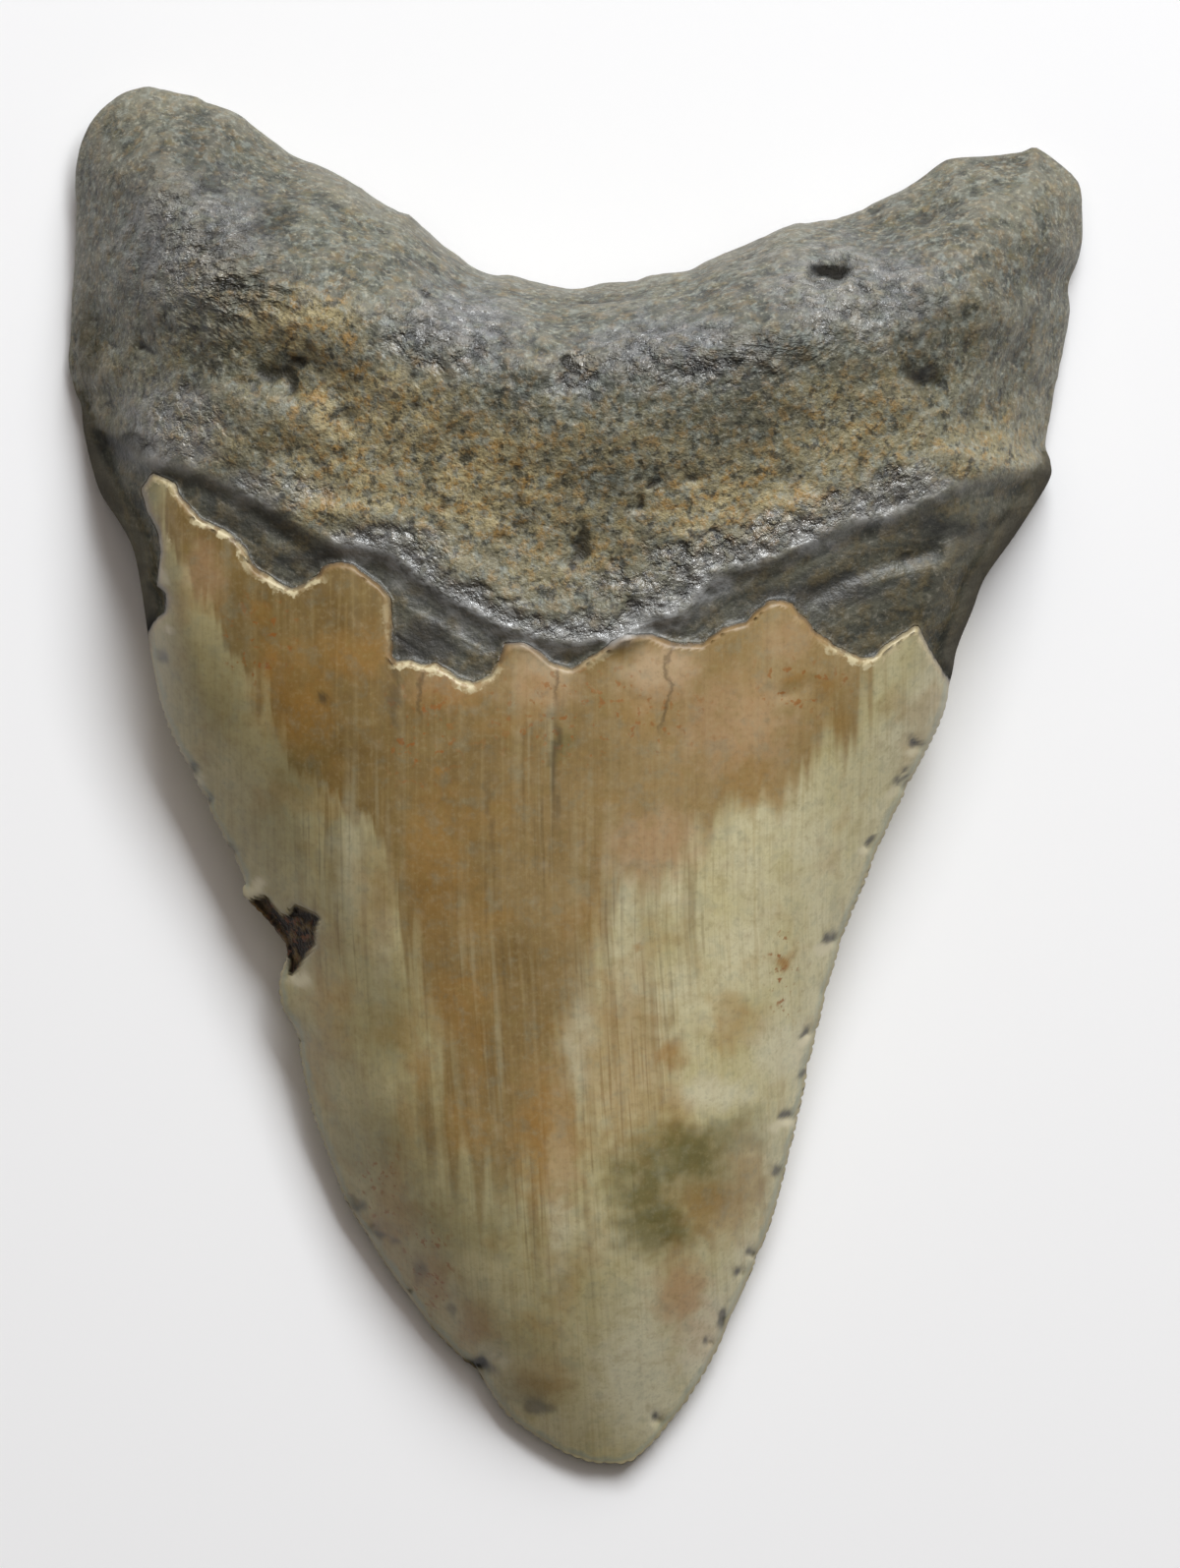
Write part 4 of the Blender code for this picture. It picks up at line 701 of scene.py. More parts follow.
# Each mark: x, y, half-width and half-height in drawing units, strength.
MARKS = {
    "specks": [(-15.4, 4, 4, 5, 1), (-31.5, 13, 4, 4.5, 1), (22.5, 9, 5, 3, 0.9), (21, -20, 2, 5, 0.9),
        (-15, -50, 2.6, 6, 0.9), (-20, -42, 3, 5, 0.7), (2, 6, 12, 5, 0.8)],
    "rust": [(-31.3, 16.2, 1.2, 0.8, 0.5), (-30.4, 10.8, 1, 2.6, 0.7), (-28.2, 8, 1.6, 5, 0.4),
        (-13.4, 0.6, 0.5, 0.5, 0.7), (22.1, 9.6, 1.2, 0.7, 0.5), (25.4, 8.8, 1.2, 1, 0.5),
        (9.6, -28, 1.8, 1.8, 0.7), (5, -29, 4.6, 9, 0.45), (14.5, -44, 4, 3.4, 0.5),
        (8, -33, 4, 3, 0.4), (-2.5, -37, 3.4, 8, 0.6), (-27, 6, 3, 4, 0.5), (-22, 12, 3, 3, 0.4),
        (-24.5, -22, 3, 2.4, 0.35), (-14, -10, 3, 8, 0.35), (-12, -23, 3.4, 4, 0.4),
        (21, -18.8, 0.5, 0.6, 0.9), (6, -17.3, 0.3, 0.5, 0.6), (-20, -13, 2.4, 6, 0.3),
        (-15.4, -29.4, 1.5, 2.6, 0.4), (-10, -27, 1.6, 5, 0.35), (1.5, -14.5, 2.2, 3, 0.35),
        (17.4, -41, 2.2, 4.6, 0.45), (-18.4, -43.4, 2.2, 4.6, 0.4), (-14.4, -51, 1.8, 3.4, 0.55),
        (-10.2, -55.6, 2, 2.4, 0.5), (-3, -61, 3.4, 2.4, 0.35), (16.3, -24.8, 3.2, 2.4, 0.35),
        (-12.6, 7.6, 4, 1.6, 0.4), (0, -14.5, 1.6, 2, 0.3), (10.4, -51.5, 2.6, 5, 0.4)],
    "green": [(10.2, -38.2, 6.2, 3.4, 0.95), (14, -41, 5.4, 3.8, 0.6), (8.4, -45.6, 4.4, 3.2, 0.95),
        (6.2, -41, 3.6, 4.2, 0.9), (15.6, -36.4, 4.6, 2.2, 0.7), (17.8, -34.6, 2.6, 1.4, 0.6),
        (-27.5, 1, 3.4, 5, 0.35), (-1.4, 3.2, 1.2, 1.8, 0.6), (-30, -6.5, 3.4, 5, 0.4),
        (-10.5, -43.5, 6, 4.6, 0.5), (-21, -37, 3.4, 5, 0.4), (-36, 8, 3.4, 6, 0.3),
        (-5, -62.4, 3.4, 2, 0.4), (6, -69, 2.4, 1.4, 0.4), (-20, -24, 3.4, 6, 0.3),
        (-43, 27.4, 1.6, 4, 0.8)],
    "pale": [(13.6, -32, 4, 1.7, 0.75), (6.5, -61, 4.2, 7, 0.85), (13, -58, 3, 5.4, 0.9),
        (20.8, -27.4, 3.2, 2.6, 0.45), (-22.4, -10, 2, 6, 0.35), (-19.4, -18, 1.2, 6, 0.3),
        (5.2, -17, 1.2, 9, 0.35), (0.4, -27, 1.8, 5, 0.5), (-1.6, -42, 1.4, 9, 0.55),
        (8, -54, 4.6, 4.4, 0.45), (8, 10.4, 3.6, 1.8, 0.3), (-2.4, 11, 2.4, 1.8, 0.3),
        (24, -8, 3, 6, 0.3)],
    "pink": [(11, -52.4, 2.6, 3.2, 0.6), (13, -57, 2.4, 3, 0.35), (21, 13.6, 2.6, 2.4, 0.3),
        (-3.5, 9, 3.4, 3.4, 0.4), (8.6, 10, 4, 3, 0.45), (16, 5, 6, 5, 0.4), (8, -7, 5, 3.4, 0.45),
        (-37, 20, 2, 3.4, 0.4), (-13, 9, 4, 2, 0.3)],
    # Painted shade in the chips and dips of the enamel, and a few dark lines.
    "chip_shade_and_lines": [(-25.4, 7.4, 0.6, 0.5, 0.6), (-42, 17.4, 1, 1.4, 1), (-41.8, 12.2, 0.8, 0.6, 0.9),
        (-9.6, -59.8, 1.3, 0.9, 1), (34.4, 3.3, 0.7, 0.6, 1), (31.9, -1, 0.5, 0.5, 0.8),
        (33.2, -0.2, 0.4, 0.8, 0.8), (29.6, -6.7, 0.5, 0.5, 0.8), (25.8, -16.2, 0.6, 0.5, 0.9),
        (23.2, -25.9, 0.6, 0.6, 0.9), (22.9, -29.8, 0.4, 0.5, 0.8), (21.2, -34.5, 0.5, 0.5, 0.9),
        (20.2, -39.8, 0.4, 0.5, 0.8), (17.6, -48.2, 0.6, 0.6, 0.9), (16.2, -50.4, 0.5, 0.5, 0.9),
        (14.8, -55, 0.4, 0.8, 0.8), (13.4, -57.3, 0.4, 0.6, 0.8), (8.2, -65.1, 0.5, 0.7, 0.9),
        (-38.4, 0.8, 0.5, 0.6, 0.7), (-37.2, -2.6, 0.5, 0.7, 0.7), (-34.5, -7.6, 0.5, 0.6, 0.6),
        (-27, -40.6, 0.6, 1, 0.6), (-22, -43.2, 0.6, 0.8, 0.7), (-19.8, -46.2, 0.7, 0.6, 0.7),
        (-3.8, -63.8, 1.6, 0.9, 0.5), (-15.6, -50.2, 0.5, 1.4, 0.55), (-18, -47.4, 0.6, 0.5, 0.5),
        (-12.6, -54, 0.5, 0.7, 0.5), (-2, 1.5, 0.4, 6, 0.5), (-18, 8, 0.4, 4, 0.35),
        (-8.6, -4, 0.3, 6, 0.25)],
    # Pale crumbs at broken enamel, and painted highlights just below the chips.
    "crumbs_and_chip_highlights": [(33.9, 2.2, 1, 0.6, 0.8), (31.7, -1.9, 0.8, 0.6, 0.7), (29.2, -7.6, 0.8, 0.6, 0.7),
        (25.4, -17.2, 1, 0.7, 0.8), (23.3, -27, 1.1, 0.7, 1), (22.4, -28.2, 0.8, 0.6, 0.6),
        (21.3, -35.5, 1.1, 0.5, 0.9), (18.2, -49, 1.1, 0.4, 0.7), (12.9, -58.2, 0.8, 0.5, 0.6),
        (7.9, -66, 0.9, 0.6, 0.6), (-37.6, -0.4, 0.5, 0.6, 0.6), (-41, 14.8, 0.7, 0.6, 0.8),
        (-32.2, -11.4, 1.2, 1, 0.9), (-27.9, -20.9, 1.1, 0.9, 0.9), (-41.4, 20.3, 0.5, 0.5, 0.8),
        (-7.4, -59.4, 1.2, 0.3, 0.5), (-26.6, -34.8, 0.4, 0.4, 0.6)],
    "clay": [(-27, 45, 6, 3.6, 1), (-20, 36, 9, 5, 1), (-23, 29, 8, 4.6, 1), (-38, 33, 6, 2.6, 0.5),
        (28, 35, 9, 5, 0.5), (17, 27, 11, 5, 0.8), (41, 33, 6, 3.4, 0.4), (-9, 29, 9, 6, 1),
        (22, 29, 6, 3, 0.3), (-3, 24, 12, 6, 0.45), (0, 41, 2, 1.4, 0.6), (-37, 50, 5, 3, 0.4),
        (2, 33, 12, 3, 0.4)],
    # Dark patches, and painted shade on the steep sides at the neck that face away from the light.
    "black": [(-15, 13.4, 3.4, 2.6, 0.8), (22, 17.6, 5, 1.2, 0.6), (-51.5, 33, 3.4, 7, 1),
        (-49.5, 27, 3.8, 6, 1), (-46.5, 20, 3.2, 7, 1), (-44.5, 15, 2.6, 5, 1),
        (-45, 33.2, 4, 1.3, 0.8), (-33, 25.4, 5, 1.6, 0.5), (-26, 21.6, 4, 1, 0.7), (49, 28.5, 3, 5, 1),
        (45.5, 22.5, 3.6, 5, 1), (42, 16.5, 3.4, 5, 1), (39.5, 11, 2.8, 5, 1),
        (38.5, 24.5, 6, 1.4, 0.7), (26, 18.4, 5, 1.4, 0.7), (34.6, 40.2, 2.6, 1.2, 0.9),
        (25.4, 50.2, 1.8, 0.9, 0.9), (-49.5, 44, 1.8, 5, 0.5), (-30, 56, 3, 2, 0.4),
        (-38, 61.5, 7, 4.5, 0.22), (37, 45, 6, 4, 0.3)],
    # Slick places: lower roughness, and a painted sheen or highlight.
    "polished": [(-12, 44.5, 7, 4.4, 1), (-38, 54, 7, 7, 0.9), (-40, 35, 5, 4.5, 0.8),
        (10, 42.5, 9, 3.8, 1), (28, 48.5, 9, 5, 0.9), (10, 21.5, 3.6, 2, 1), (16, 22.6, 4.6, 2.2, 1),
        (22, 24.4, 5, 2.2, 1), (28, 26.8, 5, 2, 1), (33, 29, 4.6, 1.8, 0.9), (-30, 28.6, 6, 2, 0.6),
        (-21, 22.8, 3.6, 1.9, 1), (-16.5, 20.8, 3.6, 2, 1), (-12, 17.8, 3.6, 2, 1),
        (-8, 15.4, 3.6, 1.8, 1), (-2.5, 13.8, 4.6, 1.7, 1), (9, 16.4, 3.6, 1.7, 1),
        (12.5, 18.8, 3.4, 1.8, 1), (3, 14.6, 6, 1.6, 1), (0, 40, 3, 2.4, 1), (-17, 23.6, 5, 1.6, 0.7),
        (7, 19, 6, 2, 0.6)],
    "crumbly": [(-29, 18.8, 5, 1.8, 1), (-13, 10, 6, 2, 1), (31, 12, 6, 3, 0.9), (-35.5, 24, 5, 3.4, 1),
        (-40.5, 29, 3, 2, 0.8), (-18.8, 15, 1, 4, 0.3), (2, 11.5, 6, 1.4, 0.35)],
    "streaky": [(-23, -9, 5, 11, 1), (-3, 0, 2.4, 12, 0.8), (4.5, -27, 5, 18, 1), (-3, -42, 4, 10, 0.8),
        (10, -12, 5, 7, 0.6), (-10, -24, 5, 12, 0.7)],
    "wrinkled": [(-37, 51.5, 8, 6, 1), (-41, 57, 4, 4, 0.6), (15, 43, 10, 2.6, 0.5)],
}
# Cracks run down from the neck: points from the bottom up.
CRACKS = [[(8.5, 3.4), (8.7, 5.6), (9.5, 8), (9.2, 10.6), (9.6, 13)],
          [(-1.8, 6.6), (-2, 8.4), (-1.7, 10.8)], [(-15.2, 5), (-15.6, 7.6), (-15.2, 10.4)]]
SMOOTHING_ROUNDS = 10       # spreads each vertex over about a millimetre, to find hollows
MARK_WARP, MARK_FRAY, MARK_RAGGED = 0.7, 0.25, 0.2
BACK_MARKS = 0.5            # strength of the marks on the flat face


def spread(values, rounds):
    """The values, averaged with their neighbours along the mesh's edges, round after round."""
    ends = np.vstack([faces[:, [0, 1]], faces[:, [1, 2]], faces[:, [2, 0]]])
    count = np.bincount(ends[:, 0], minlength=len(values)) + np.bincount(ends[:, 1], minlength=len(values))
    for _ in range(rounds):
        total = sum(np.column_stack([np.bincount(ends[:, side], values[ends[:, 1 - side], k], len(values))
                                     for k in range(values.shape[1])]) for side in (0, 1))
        values = 0.5 * values + 0.5 * total / count[:, None]
    return values


def marked(points, marks):
    """Strength of a group of marks: each is a bell on a warped plan, with its rim made uneven."""
    warp = np.column_stack([unevenness(points, 2.6, seed) for seed in (31, 32)])
    fine = np.column_stack([unevenness(points, 0.9, seed) for seed in (33, 34)])
    at = points + MARK_WARP * warp + MARK_FRAY * fine
    ragged = MARK_RAGGED * unevenness(points, 1.2, 35)
    strongest = np.zeros(len(points))
    for x, y, half_width, half_height, strength in marks:
        bell = np.exp(-((at[:, 0] - x) / half_width) ** 2 - ((at[:, 1] - y) / half_height) ** 2)
        strongest = np.maximum(strongest, strength * between(bell + ragged, 0.05, 0.85))
    return strongest


hollow = ((spread(vertices, SMOOTHING_ROUNDS) - vertices) * normals_of(vertices, faces)).sum(1)
stain_edge = np.vstack([STAIN, STAIN[:1]])
stain_gap = distance(whole.points, stain_edge) * np.where(above(whole.points, stain_edge), 1, -1)
on_front = np.arange(len(vertices)) < back_start
crack_side, crack_here = np.full(len(vertices), 9.0), np.zeros(len(vertices))
for line in CRACKS:
    path = smooth_curve(line)
    offset = whole.points[:, 0] - np.interp(whole.points[:, 1], path[:, 1], path[:, 0])
    crack_side = np.where(np.abs(offset) < np.abs(crack_side), offset, crack_side)
    here = between(whole.points[:, 1], path[0, 1], path[0, 1] + 2) * (np.abs(offset) < 2)
    crack_here = np.maximum(crack_here, here * (whole.points[:, 1] < path[-1, 1]) * on_front)
maps = {
    "enamel_mm": whole.enamel * MM,
    "lip_mm": whole.lip * MM,
    "rim_mm": whole.outline * MM,
    "stain_mm": stain_gap * MM,
    "broken": between(whole.broken, -0.25, 0.15),
    "hollow_mm": hollow * 1000,
    "crack_mm": crack_side * MM,
    "crack_here": crack_here,
}
for name, marks in MARKS.items():
    maps[name] = marked(whole.points, marks) * np.where(on_front, 1.0, BACK_MARKS)
for name, values in maps.items():
    layer = mesh.attributes.new(name, "FLOAT", "POINT")
    layer.data.foreach_set("value", values.astype(np.float32))
corners = np.empty(len(mesh.loops), np.int32)
mesh.loops.foreach_get("vertex_index", corners)
# Growth lines run straight down from the neck, and lean to the tip at the lower end.
LEAN, LEAN_BELOW = 0.06, -15.0
lean = LEAN * np.minimum(whole.points[:, 1] - LEAN_BELOW, 0)
growth = np.column_stack([whole.points[:, 0] + lean, whole.points[:, 1]]) * MM
mesh.uv_layers.new(name="growth").data.foreach_set("uv", growth[corners].astype(np.float32).ravel())

# ============================================================================ fossil material
# The whole tooth is apatite, the mineral of teeth, stained by the ground it lay in. One material
# has three layers, because one runs into the next: porous root, dense neck band, glassy enamel.


def srgb(code):
    """A linear colour from an sRGB hex value, by the standard's curve."""
    part = np.array([int(code[k:k + 2], 16) for k in (1, 3, 5)]) / 255
    linear = np.where(part <= 0.04045, part / 12.92, ((part + 0.055) / 1.055) ** 2.4)
    return (*linear.tolist(), 1.0)


def add(kind, inputs, **settings):
    """Adds a node, makes its settings, links or sets its inputs, and gives its first live output."""
    node = tree.nodes.new("ShaderNode" + kind)
    for name, value in settings.items():
        setattr(node, name, value)
    for key, value in inputs.items():
        if isinstance(value, bpy.types.NodeSocket):
            tree.links.new(value, node.inputs[key])
        else:
            node.inputs[key].default_value = value
    return next(output for output in node.outputs if output.enabled)


material = bpy.data.materials.new("fossil apatite, sea-worn")
material.use_nodes = True
tree = material.node_tree
shader = tree.nodes["Principled BSDF"]
object_place = tree.nodes.new("ShaderNodeTexCoord").outputs["Object"]
in_mm = add("VectorMath", {0: object_place, 1: (1000, 1000, 1000)}, operation="MULTIPLY")
growth_mm = add("UVMap", {}, uv_map="growth")
read = {name: tree.nodes.new("ShaderNodeAttribute") for name in maps}
for name, reader in read.items():
    reader.attribute_name = name
    read[name] = reader.outputs["Fac"]
MIX_FACTOR, MIX_A, MIX_B = 0, 6, 7


def coats(colour, steps):
    """Lays one colour after another over the first. A step is a share and a colour, or else a source,
    its values where the colour begins and is whole, the most that it covers, and the colour."""
    for *share, code in steps:
        if len(share) > 1:
            source, start, end, most = share
            share = [add("MapRange", {0: source, 1: start, 2: end, 4: most})]
        over = srgb(code) if isinstance(code, str) else code
        colour = add("Mix", {MIX_FACTOR: share[0], MIX_A: colour, MIX_B: over}, data_type="RGBA")
    return colour


def within(mask, source, start, end, least=0.0, most=1.0):
    """A share that goes from least to most as the source goes from start to end, times a mask."""
    share = add("MapRange", {0: source, 1: start, 2: end, 3: least, 4: most})
    return add("Math", {0: share, 1: mask}, operation="MULTIPLY")


def heaped(steps):
    """The sum of some sources, each times its height in millimetres."""
    total = 0.0
    for source, height in steps:
        total = add("Math", {0: source, 1: height, 2: total}, operation="MULTIPLY_ADD")
    return total


patches = add("TexNoise", {"Vector": in_mm, "Scale": 1 / 7.0, "Detail": 3.0, "Roughness": 0.6})
blotches = add("TexNoise", {"Vector": in_mm, "Scale": 1 / 1.8, "Detail": 4.0, "Roughness": 0.65})
grain = add("TexNoise", {"Vector": in_mm, "Scale": 1 / 0.5, "Detail": 2.0, "Roughness": 0.6})
specks = add("TexNoise", {
    "Vector": add("Mapping", {"Vector": in_mm, "Location": (40.0, 7.0, 0.0)}),
    "Scale": 1 / 0.75, "Detail": 2.0, "Roughness": 0.5})


def root_layer():
    """Spongy dentine: grey, olive and ochre grit with clay in the hollow. It is wrinkled in places,
    cobbled and slick where it was worn smooth, and nearly black on its sides at the neck. The slick
    places carry a painted sheen, the cobbles' gaps and the wrinkles' grooves carry painted shade, and
    the black on the sides is partly painted shade."""
    clay = within(read["clay"], blotches, 0.36, 0.60, 0.3)
    grit = add("TexNoise", {"Vector": in_mm, "Scale": 1 / 1.1, "Detail": 4.0, "Roughness": 0.65})
    ochre_grit = add("SeparateColor", {"Color": grit.node.outputs["Color"]})
    grey_grit, black_grit = (ochre_grit.node.outputs[name] for name in ("Green", "Blue"))
    bent = add("VectorMath", {0: blotches.node.outputs["Color"], 1: (1.6, 1.6, 1.6), 2: in_mm},
               operation="MULTIPLY_ADD")
    cobbles = add("TexVoronoi", {"Vector": bent, "Scale": 1 / 1.4}, feature="F1")
    wrinkles = add("TexNoise", {
        "Vector": add("Mapping", {"Vector": in_mm, "Rotation": (0.0, 0.0, 0.35),
                                  "Scale": (0.26, 0.75, 0.75)}),
        "Scale": 1.0, "Detail": 4.0, "Roughness": 0.62})
    # The wrinkles' grooves are painted dark: painted shade.
    furrow_shade = within(read["wrinkled"], wrinkles, 0.48, 0.38, 0, 0.6)
    # Slick places: lower roughness, and a light bluish grey that is a painted sheen.
    rubbed_and_sheen = within(read["polished"], blotches, 0.40, 0.55, 0.2)
    # The cobbles' gaps are painted dark: painted shade in the creases.
    gap = within(rubbed_and_sheen, cobbles, 0.45, 0.75, 0, 0.6)
    near_clay = add("MapRange", {0: read["clay"], 2: 0.8, 3: 0.3})
    ochre = within(near_clay, ochre_grit, 0.49, 0.62, 0, 0.75)
    colour = coats(srgb("#454740"), [
        (patches, 0.36, 0.64, 1, "#666759"), (read["lip_mm"], 18.0, 5.0, 0.4, "#8a8468"),
        (blotches, 0.50, 0.66, 0.4, "#7a6f44"), (clay, "#b5a67c"), (ochre, "#a07a3c"),
        (grey_grit, 0.52, 0.62, 0.6, "#868c84"), (black_grit, 0.46, 0.37, 0.75, "#2c2d28"),
        (grain, 0.56, 0.70, 0.45, "#b3b09e"), (grain, 0.46, 0.34, 0.5, "#34342f"),
        (add("Math", {0: rubbed_and_sheen, 1: 0.45}, operation="MULTIPLY"), "#94969d"), (gap, "#2f2f2d"),
        (furrow_shade, "#33322f"), (read["black"], "#2c2b2a")])
    rough = add("MapRange", {0: rubbed_and_sheen, 3: 0.50, 4: 0.15})
    shine = within(add("MapRange", {0: rubbed_and_sheen, 3: 0.3}), read["black"], 0.5, 0.0)
    cobbles = add("Math", {0: cobbles, 1: rubbed_and_sheen}, operation="MULTIPLY")
    wrinkles = add("Math", {0: wrinkles, 1: read["wrinkled"]}, operation="MULTIPLY")
    height = heaped([(grain, 0.06), (blotches, 0.35), (grit, 0.25), (cobbles, -1.0), (wrinkles, 2.6)])
    return colour, rough, shine, height


def band_layer():
    """Dense dentine where the enamel is missing: dark grey and slick, built of thin layers whose
    edges run along the band. Slick places carry a painted highlight. It is nearly black towards the
    sides, partly as painted shade."""
    across = add("CombineXYZ", {0: read["lip_mm"], 1: add("SeparateXYZ", {0: in_mm})})
    layers = add("TexNoise", {
        "Vector": add("Mapping", {"Vector": across, "Scale": (1 / 1.3, 1 / 6.0, 1.0)}),
        "Scale": 1.0, "Detail": 1.5, "Roughness": 0.5, "Distortion": 0.6})
    # Slick places: lower roughness, and a pale bluish grey that is a painted highlight.
    rubbed_and_sheen = within(read["polished"], blotches, 0.42, 0.58, 0.2)
    colour = coats(srgb("#41423b"), [
        (layers, 0.38, 0.62, 1, "#5e5d50"), (blotches, 0.46, 0.62, 0.6, "#6c5f42"),
        (grain, 0.46, 0.36, 0.5, "#35342f"), (grain, 0.58, 0.70, 0.4, "#8f8a7d"),
        (add("Math", {0: rubbed_and_sheen, 1: 0.7}, operation="MULTIPLY"), "#8c8f92"),
        (read["black"], "#2c2c2c")])
    rough = add("MapRange", {0: rubbed_and_sheen, 3: 0.46, 4: 0.26})
    on_top = add("MapRange", {0: read["rim_mm"], 1: 2.0, 2: 8.0})
    shine = add("MapRange", {0: on_top, 4: 0.45})
    return colour, rough, shine, heaped([(layers, 0.15), (blotches, 0.26)])


def enamel_layer():
    """Enamel: hard and satin. Growth lines run from the root to the tip, and the brown stain has
    followed them, so it is streaked and its right edge and lower end fade out in streaks. It is
    lighter towards the right, partly in its own tone and partly as painted light on the flank that
    faces the lamp. Its broken edge at the neck has pale crumbs, and a dark wall below them. Chips
    carry painted shade, with painted highlights below them."""
    wide, thin, hair = [add("TexNoise", {
        "Vector": add("Mapping", {"Vector": growth_mm, "Scale": (1 / width, 1 / length, 1.0)}),
        "Scale": 1.0, "Detail": 1.0}) for width, length in ((2.2, 34.0), (0.9, 20.0), (0.38, 11.0))]
    cloud = add("TexNoise", {"Vector": in_mm, "Scale": 1 / 9.0, "Detail": 6.0, "Roughness": 0.62})
    tone = add("MapRange", {0: cloud, 1: 0.36, 2: 0.64})
    across = add("SeparateXYZ", {0: growth_mm})
    to_right = add("MapRange", {0: across, 1: -20.0, 2: 16.0})
    to_tip = add("MapRange", {0: across.node.outputs["Y"], 1: -22.0, 2: -38.0})
    colour = coats(srgb("#a79a6e"), [(tone, "#bdb184")])
    # The right side is lighter: partly the enamel's own tone, partly painted light on the flank that faces
    # the lamp.
    colour = coats(colour, [(to_right, coats(srgb("#c3b98a"), [(tone, "#d2caa6")]))])
    brown = coats(srgb("#6c5227"), [(tone, "#826838")])
    brown = coats(brown, [(to_right, coats(srgb("#8c7041"), [(tone, "#a08558")]))])
    sway = add("MapRange", {0: to_right, 2: 0.6, 3: 2.5, 4: 8.0})
    sway = add("Math", {0: to_tip, 1: 16.0, 2: sway}, operation="MULTIPLY_ADD")
    run = add("Math", {0: wide, 1: 0.5}, operation="SUBTRACT")
    run = add("Math", {0: run, 1: sway, 2: read["stain_mm"]}, operation="MULTIPLY_ADD")
    run = add("Math", {0: add("MapRange", {0: thin, 1: 0.3, 2: 0.7, 3: -1.1, 4: 1.1}), 1: run})
    soft = add("MapRange", {0: to_right, 2: 0.5, 3: 1.2, 4: 3.5})
    soft = add("Math", {0: to_tip, 1: 4.0, 2: soft}, operation="MULTIPLY_ADD")
    stain = add("MapRange", {0: add("Math", {0: run, 1: soft}, operation="DIVIDE"),
                             1: -0.5, 2: 0.5, 4: 0.92}, interpolation_type="SMOOTHSTEP")
    streaky = add("MapRange", {0: read["streaky"], 2: 0.8, 3: 0.25})
    lines = [within(streaky, source, start, end, 0, most) for source, start, end, most in (
        (wide, 0.54, 0.70, 0.5), (thin, 0.54, 0.70, 0.5), (thin, 0.44, 0.32, 0.4),
        (wide, 0.44, 0.34, 0.4))]
    fine_lines = within(streaky, hair, 0.45, 0.32, 0, 0.45)
    green = within(read["green"], patches, 0.36, 0.56, 0.45)
    rusty = within(read["specks"], specks, 0.60, 0.67)
    edge = add("Math", {0: blotches, 1: -3.0, 2: read["enamel_mm"]}, operation="MULTIPLY_ADD")
    edge = add("MapRange", {0: edge, 1: -1.05, 2: -1.25})
    crumbs = within(within(edge, read["crumbly"], 0.1, 0.7), specks, 0.42, 0.52, 0.25)
    wall = add("Math", {0: blotches, 1: 0.8, 2: read["enamel_mm"]}, operation="MULTIPLY_ADD")
    wall = add("MapRange", {0: wall, 1: 0.42, 2: 0.02, 4: 0.8})
    strip = add("Math", {0: blotches, 1: -1.6, 2: read["rim_mm"]}, operation="MULTIPLY_ADD")
    wander = add("MapRange", {0: blotches, 1: 0.3, 2: 0.7, 3: -0.35, 4: 0.35})
    wander = add("Math", {0: read["crack_mm"], 1: wander})
    off_crack = add("Math", {0: wander}, operation="ABSOLUTE")
    split = within(read["crack_here"], off_crack, 0.30, 0.04, 0, 0.5)
    broken = coats(srgb("#2e2620"), [
        (blotches, 0.46, 0.62, 1, "#75603f"), (specks, 0.56, 0.66, 1, "#77503a")])
    # The dark marks at the chips are painted shade, and the pale marks just below them painted highlights.
    colour = coats(colour, [
        (stain, brown), (lines[0], "#b3aa88"), (lines[1], "#ada482"), (lines[2], "#6e5a38"),
        (lines[3], "#7a6540"), (fine_lines, "#64502e"), (hair, 0.55, 0.68, 0.25, "#a08a5c"),
        (patches, 0.52, 0.64, 0.35, "#a07a3e"), (read["pale"], "#d2ccae"), (read["pink"], "#bf9a76"),
        (green, "#6b643a"), (read["rust"], "#9c7234"), (rusty, "#94602c"),
        (blotches, 0.52, 0.68, 0.3, "#8d7a48"), (blotches, 0.48, 0.34, 0.25, "#7f8370"),
        (grain, 0.46, 0.34, 0.14, "#5b4b30"), (grain, 0.54, 0.68, 0.14, "#b7a983"),
        (strip, 0.0, -0.5, 0.6, "#8f988a"), (read["rim_mm"], 0.35, 0.15, 0.6, "#ad9c74"),
        (split, "#4b3b24"), (read["chip_shade_and_lines"], "#34302a"), (read["crumbs_and_chip_highlights"], "#d6ccab"),
        (read["enamel_mm"], 0.35, 0.0, 0.3, "#94714f"), (crumbs, "#cdbf99"), (wall, "#4a4239"),
        (read["broken"], broken)])
    rough = add("MapRange", {0: cloud, 1: 0.35, 2: 0.65, 3: 0.38, 4: 0.50})
    shine = add("MapRange", {0: read["broken"], 3: 0.32, 4: 0.05})
    return colour, rough, shine, heaped([(hair, 0.012), (read["broken"], blotches)])


root, band, enamel = root_layer(), band_layer(), enamel_layer()
is_root = add("MapRange", {0: read["lip_mm"], 1: -0.8, 2: 0.6})
wall_foot = add("Math", {0: blotches, 1: 0.6, 2: read["enamel_mm"]}, operation="MULTIPLY_ADD")
is_enamel = add("MapRange", {0: wall_foot, 1: -0.16, 2: -0.04})
mixed = []
for below, middle, above_it in zip(root, band, enamel):
    form, a, b = (("RGBA", MIX_A, MIX_B) if below.type == "RGBA" else ("FLOAT", 2, 3))
    bare_layer = add("Mix", {MIX_FACTOR: is_root, a: middle, b: below}, data_type=form)
    mixed.append(add("Mix", {MIX_FACTOR: is_enamel, a: bare_layer, b: above_it}, data_type=form))
from_ledge = add("Math", {0: read["enamel_mm"]}, operation="ABSOLUTE")
off_ledge = add("MapRange", {0: from_ledge, 1: 0.5, 2: 1.5, 3: 0.05})
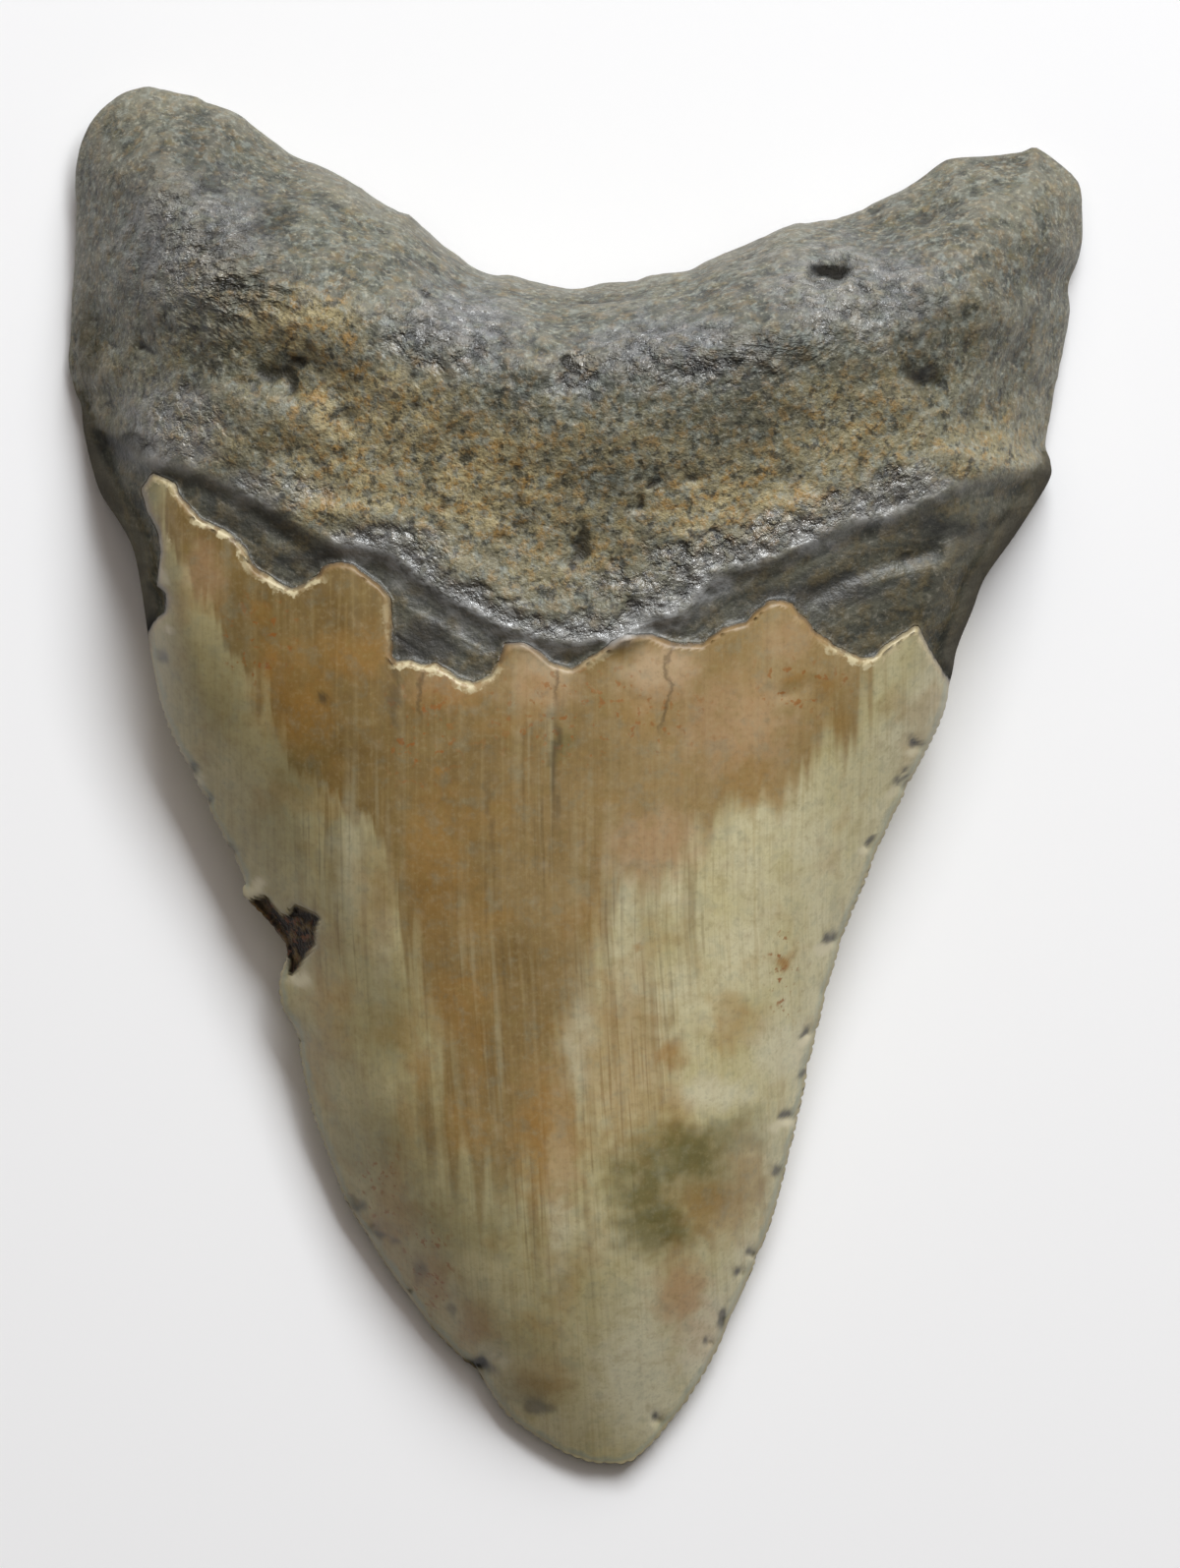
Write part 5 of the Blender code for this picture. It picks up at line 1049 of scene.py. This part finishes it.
# Hollows are darkened, partly as dirt and partly as painted shade.
hollow_dirt_and_shade = within(off_ledge, read["hollow_mm"], 0.04, 0.20, 0, 0.8)
wear = within(off_ledge, read["hollow_mm"], -0.03, -0.14, 0, 0.2)
from_lip = add("Math", {0: read["lip_mm"]}, operation="ABSOLUTE")
# A painted highlight along the slick crest of the lip.
lip_painted_highlight = within(within(read["polished"], from_lip, 2.4, 0.6, 0, 0.65), blotches, 0.36, 0.56, 0.35)
colour = coats(mixed[0], [(hollow_dirt_and_shade, "#262420"), (wear, "#a8a08c"), (lip_painted_highlight, "#a8a9a8")])
bump = add("Bump", {"Strength": 1.0, "Distance": 0.001, "Height": mixed[3]})
tree.links.new(colour, shader.inputs["Base Color"])
tree.links.new(mixed[1], shader.inputs["Roughness"])
tree.links.new(mixed[2], shader.inputs["Specular IOR Level"])
tree.links.new(bump, shader.inputs["Normal"])
shader.inputs["IOR"].default_value = 1.6
mesh.materials.append(material)

# ============================================================================ table
# A plain pale table top, just under the tooth.
TABLE_HALF = 1.2
table_mesh = bpy.data.meshes.new("table")
table_mesh.from_pydata([(x * TABLE_HALF, y * TABLE_HALF, -0.00005) for x, y in
                        ((-1, -1), (1, -1), (1, 1), (-1, 1))], [], [(0, 1, 2, 3)])
table = bpy.data.objects.new("table", table_mesh)
scene.collection.objects.link(table)
paint = bpy.data.materials.new("matt white laminate")
paint.use_nodes = True
paint.node_tree.nodes["Principled BSDF"].inputs["Base Color"].default_value = srgb("#f4f4f5")
paint.node_tree.nodes["Principled BSDF"].inputs["Roughness"].default_value = 0.9
table_mesh.materials.append(paint)

# ============================================================================ light and camera
# Soft daylight from a tall window beyond the root and to the right, a pale ceiling that spreads
# it, and a camera straight above the tooth.
LAMP_DISTANCE = 1.2
# Each light: degrees from +Y towards +X, degrees up, width and height in metres, roll, watts, tint.
LIGHTS = {"window": (18, 45, 0.9, 0.42, -36, 16.3, "#f8fcff"),
          "ceiling": (12, 62, 1.56, 1.56, 0, 5.7, "#fff3ea")}
for name, (azimuth, elevation, width, height, roll, watts, tint) in LIGHTS.items():
    azimuth, elevation, roll = np.radians((azimuth, elevation, roll))
    lamp = bpy.data.objects.new(name, bpy.data.lights.new(name, "AREA"))
    lamp.data.shape = "RECTANGLE"
    lamp.data.size, lamp.data.size_y = width, height
    lamp.data.energy = watts
    lamp.data.color = srgb(tint)[:3]
    lamp.location = LAMP_DISTANCE * np.array([np.sin(azimuth) * np.cos(elevation),
                                              np.cos(azimuth) * np.cos(elevation), np.sin(elevation)])
    aim = Euler((np.pi / 2 - elevation, 0, np.pi - azimuth)).to_matrix()
    lamp.rotation_euler = (aim @ Matrix.Rotation(roll, 3, "Z")).to_euler()
    scene.collection.objects.link(lamp)

room = bpy.data.worlds.new("room")
room.use_nodes = True
room.node_tree.nodes["Background"].inputs["Color"].default_value = srgb("#f6ebe2")
room.node_tree.nodes["Background"].inputs["Strength"].default_value = 0.06
scene.world = room
scene.view_settings.view_transform = "Standard"

LENS, SENSOR = 300.0, 36.0
FRAME_HEIGHT = 0.1467       # what the picture's long side takes in, at the outline's height
camera = bpy.data.objects.new("camera", bpy.data.cameras.new("camera"))
camera.data.lens = LENS
camera.data.sensor_width = SENSOR
camera.location = (0.0014, -0.0007, FRAME_HEIGHT * LENS / SENSOR)
scene.collection.objects.link(camera)
scene.camera = camera
